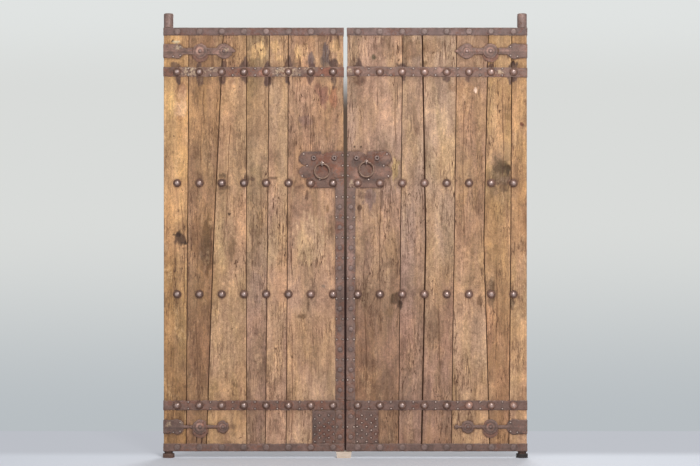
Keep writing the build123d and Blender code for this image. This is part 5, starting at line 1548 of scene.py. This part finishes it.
def makeBatten(node, side, seed):
    low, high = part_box(node)
    stations = np.linspace(low.x, high.x, int((high.x - low.x) / batten["station"]) + 1)
    backY, frontY, wear = high.y, low.y, batten["wear"]
    up = list(np.linspace(frontY, backY - wear, 8))
    across = list(np.linspace(high.z - wear, low.z + wear, 18))
    section = ([(high.z, y) for y in up] + [(high.z - 0.0013, backY - 0.0013)] + [(z, backY) for z in across]
               + [(low.z + 0.0013, backY - 0.0013)] + [(low.z, y) for y in up[::-1]]
               + [(z, frontY) for z in np.linspace(low.z, high.z, 6)[1:-1]])
    section = np.array(section)
    count = len(section)
    x = np.repeat(stations[:, None], count, axis=1)
    z, y = np.tile(section[:, 0], (len(stations), 1)), np.tile(section[:, 1], (len(stations), 1))
    middleZ, middleY = (low.z + high.z) / 2, (low.y + high.y) / 2
    wave = batten["wave"] * (0.9 + 0.8 * layered(x / 0.09, (z + y) / 0.02, seed, 3))
    split = np.clip(1 - np.abs(noise(x / 0.35, (z * 1.0 + y) / 0.014, seed + 1)) / 0.14, 0, 1)
    split = split * rise(0.1, 0.5, noise(x / 0.4, z / 0.05, seed + 2) + 0.2)
    onBack = rise(frontY + 0.004, frontY + 0.02, y)
    inward = (np.clip(wave, 0, 0.003) + 0.0014 * split) * onBack
    half = (high.z - low.z) / 2
    towardZ = np.where(np.abs(z - middleZ) > half - 0.006, np.sign(z - middleZ), 0)
    towardY = np.where(y > backY - 0.006, 1.0, 0.0)
    length = np.maximum(np.hypot(towardZ, towardY), 1)
    z, y = z - inward * towardZ / length, y - inward * towardY / length
    ends = np.minimum(rise(low.x, low.x + 0.006, x), 1 - rise(high.x - 0.006, high.x, x))
    z = middleZ + (z - middleZ) * (0.955 + 0.045 * ends)
    y = np.where(y > middleY, y - 0.0015 * (1 - ends), y)
    tint = linear(*batten["tint"]) * (1 + 0.16 * layered(x / 0.3, z / 0.03, seed + 3, 3)[..., None])
    rust = np.zeros_like(x)
    for sx, sz, *_ in heads[side]["dome_studs"]:
        if low.z < sz < high.z:
            rust += 0.7 * np.exp(-(np.maximum(np.hypot(x - sx, z - sz) - 0.006, 0) / 0.010) ** 2) * (y > backY - 0.01)
    flake = 0.3 * rise(0.5, 0.9, layered(x / 0.1, z / 0.02, seed + 5, 2))
    marks = np.stack([np.clip(split * 0.9, 0, 1), np.clip(rust, 0, 1), flake], axis=-1)
    loop = np.stack([x, y, z], axis=-1)
    faces = tubeFaces(len(stations), count, False)
    points = np.concatenate([loop.reshape(-1, 3), loop[[0, -1]].mean(axis=1)])
    values = {"paint": np.concatenate([tint.reshape(-1, 3), np.tile(linear(*batten["tint"]) * 0.8, (2, 1))]),
              "marks": np.concatenate([marks.reshape(-1, 3), np.zeros((2, 3))]),
              "shift": np.full(len(points), 0.7 + seed * 0.31)}
    piece = makePiece(f"{node}_hewn", points, facesOutward(points, faces), values, battenMaterial)
    piece.data.set_sharp_from_angle(angle=math.radians(60))
    giveTo(piece, f"{side}_leaf", "batten_wood", node)


for number, side in enumerate(sideSigns):
    for level, name in enumerate(("bottom", "lower", "upper", "top")):
        makeBatten(f"{side}_{name}_batten", side, 700 + 10 * number + level)
print("battens made")


stageLook = {"floor": (212, 215, 222), "floorBeyond": (186, 189, 196), "wall": (217, 219, 217),
             "wallFoot": (184, 190, 194), "wallHead": (224, 227, 226), "shade": (50, 36, 34),
             "shadeMiddle": (94, 78, 66), "shadeHead": (136, 118, 110), "wallDistance": 1.32, "wallReach": 4.5,
             "wallHeight": 4.6, "shadeDistance": 0.3, "shadeReach": 0.04, "shadeHeight": 2.45}


def levelColours(tree, z, stops):
    # a colour that changes with height; stops are (low, high, colour) after the first colour
    colour = linear(*stops[0])
    for low, high, tone in stops[1:]:
        colour = mixColour(tree, ramp(tree, z, low, high), colour, linear(*tone))
    return colour


def glowingSheet(name, reach, depth, height, faceOn, colour, showing):
    # a sheet that glows towards the camera in front and lets everything else through
    points = np.array([(-reach, depth, 0), (reach, depth, 0), (reach, depth, height), (-reach, depth, height)], float)
    material, tree, _, position = startMaterial(name, 0.9, 0.0, 0.1)
    x, _, z = apart(tree, position)
    glow = addNode(tree, "ShaderNodeEmission", Color=colour(tree, z)).outputs[0]
    inFront = maths(tree, "SUBTRACT", 1.0, addNode(tree, "ShaderNodeNewGeometry").outputs["Backfacing"])
    seen = times(tree, addNode(tree, "ShaderNodeLightPath").outputs["Is Camera Ray"], inFront)
    aslant = addNode(tree, "ShaderNodeLayerWeight", Blend=0.5).outputs["Facing"]
    seen = times(tree, seen, ramp(tree, aslant, *faceOn))
    seen = times(tree, seen, showing(tree, maths(tree, "ABSOLUTE", x), z))
    clear = addNode(tree, "ShaderNodeBsdfTransparent").outputs[0]
    mix = addNode(tree, "ShaderNodeMixShader", i0=seen, i1=clear, i2=glow)
    tree.links.new(mix.outputs[0], tree.nodes["Material Output"].inputs["Surface"])
    return makePiece(name, points, [np.array([[0, 1, 2, 3]])], {}, material, False)


def closeShade(tree, aside, z):
    # full where the shut leaves stand close in front, none once they are open
    near = addNode(tree, "ShaderNodeAmbientOcclusion", {"samples": 32}, Distance=3.0).outputs["AO"]
    return times(tree, ramp(tree, near, 0.32, 0.20), ramp(tree, z, 2.42, 2.1))


def makeStage():
    # a pale floor that ends in the pale room, a wall behind the gate, and the shade behind the shut leaves
    look = stageLook
    points = np.array([(-9, -16, 0), (9, -16, 0), (9, 9, 0), (-9, 9, 0)], float)
    material, tree, shader, position = startMaterial("paleFloor", 0.8, 0.0, 0.15)
    x, along, _ = apart(tree, position)
    shader.inputs["Base Color"].default_value = (*linear(*look["floor"]), 1)
    aside = maths(tree, "ABSOLUTE", x)
    beside = times(tree, ramp(tree, aside, 0.95, 1.15), ramp(tree, along, 0.0, 0.3))
    beside = times(tree, beside, ramp(tree, along, 1.9, 1.4))
    centred = addNode(tree, "ShaderNodeVectorMath", {"operation": "LENGTH"}, i0=position).outputs["Value"]
    faraway = ramp(tree, centred, 2.6, 6.0)
    seen = addNode(tree, "ShaderNodeLightPath").outputs["Is Camera Ray"]
    glowing = times(tree, maths(tree, "MAXIMUM", times(tree, beside, 0.85), faraway), seen)
    tone = mixColour(tree, faraway, linear(*look["floorBeyond"]), linear(*look["wall"]))
    glow = addNode(tree, "ShaderNodeEmission", Color=tone).outputs[0]
    mix = addNode(tree, "ShaderNodeMixShader", i0=glowing, i1=shader.outputs[0], i2=glow)
    tree.links.new(mix.outputs[0], tree.nodes["Material Output"].inputs["Surface"])
    floor = makePiece("floor", points, [np.array([[0, 1, 2, 3]])], {}, material, False)
    wall = glowingSheet("wall", look["wallReach"], look["wallDistance"], look["wallHeight"], (0.75, 0.45),
                   lambda tree, z: levelColours(tree, z, [look["wallFoot"], (0.0, 1.5, look["wall"]),
                                                          (2.3, 2.9, look["wallHead"]), (3.0, 4.0, look["wall"])]),
                   lambda tree, aside, z: times(tree, ramp(tree, aside, 4.3, 2.7), ramp(tree, z, 4.4, 3.2)))
    shade = glowingSheet("shade", look["shadeReach"], look["shadeDistance"], look["shadeHeight"], (0.07, 0.04),
                    lambda tree, z: levelColours(tree, z, [look["shade"], (0.9, 1.7, look["shadeMiddle"]),
                                                           (2.1, 2.5, look["shadeHead"])]), closeShade)


lightLook = {"sky": (0.94, 0.97, 1.0), "skyStrength": 0.42, "aim": (0, 0, 1.3)}
lamps = {"key": ((1.9, -7.4, 5.2), 1.8, 560), "fill": ((-5.5, -6.0, 2.4), 3.5, 90), "back": ((1.5, 6.5, 4.2), 3.0, 260)}
cameraLook = {"sensor": 36, "distance": 10, "width": 4.2, "place": (0.028, -10.03, 1.35)}  # width seen at distance


def makeLight():
    world = bpy.data.worlds.new("paleRoom")
    bpy.context.scene.world = world
    world.use_nodes = True
    tree = world.node_tree
    light = tree.nodes["Background"]
    light.inputs["Color"].default_value = (*lightLook["sky"], 1)
    light.inputs["Strength"].default_value = lightLook["skyStrength"]
    seen = addNode(tree, "ShaderNodeBackground")
    seen.inputs["Color"].default_value = (*linear(*stageLook["wall"]), 1)
    rays = addNode(tree, "ShaderNodeLightPath").outputs
    direct = maths(tree, "ADD", rays["Is Camera Ray"], rays["Is Transmission Ray"], clamp=True)
    mix = addNode(tree, "ShaderNodeMixShader", i0=direct, i1=light.outputs[0], i2=seen.outputs[0])
    tree.links.new(mix.outputs[0], tree.nodes["World Output"].inputs["Surface"])
    for name, (place, size, power) in lamps.items():
        data = bpy.data.lights.new(name, "AREA")
        data.size, data.energy = size, power
        lamp = bpy.data.objects.new(name, data)
        lamp.location = place
        lamp.rotation_euler = (Vector(lightLook["aim"]) - Vector(place)).to_track_quat("-Z", "Y").to_euler()
        bpy.context.scene.collection.objects.link(lamp)


def makeCamera():
    data = bpy.data.cameras.new("camera")
    data.sensor_width = cameraLook["sensor"]
    data.lens = cameraLook["sensor"] * cameraLook["distance"] / cameraLook["width"]
    camera = bpy.data.objects.new("camera", data)
    camera.location = cameraLook["place"]
    camera.rotation_euler = (math.pi / 2, 0, 0)
    bpy.context.scene.collection.objects.link(camera)
    bpy.context.scene.camera = camera


makeStage()
makeLight()
makeCamera()
bpy.context.scene.view_settings.view_transform = "Standard"

nodeMaterials = {"left_pivot_cup": irons["brownCupIron"], "top_pin_sleeve": irons["pinSleeveIron"],
                 "bottom_pin_shoe": irons["pinShoeIron"], "pivot_cup": irons["darkCupIron"], "block": blockMaterial}
for name, node in nodes.items():
    if not node.hide_render:
        node.data.materials.clear()
        node.data.materials.append(next(m for key, m in nodeMaterials.items() if name.endswith(key)))
print("stage and camera made")
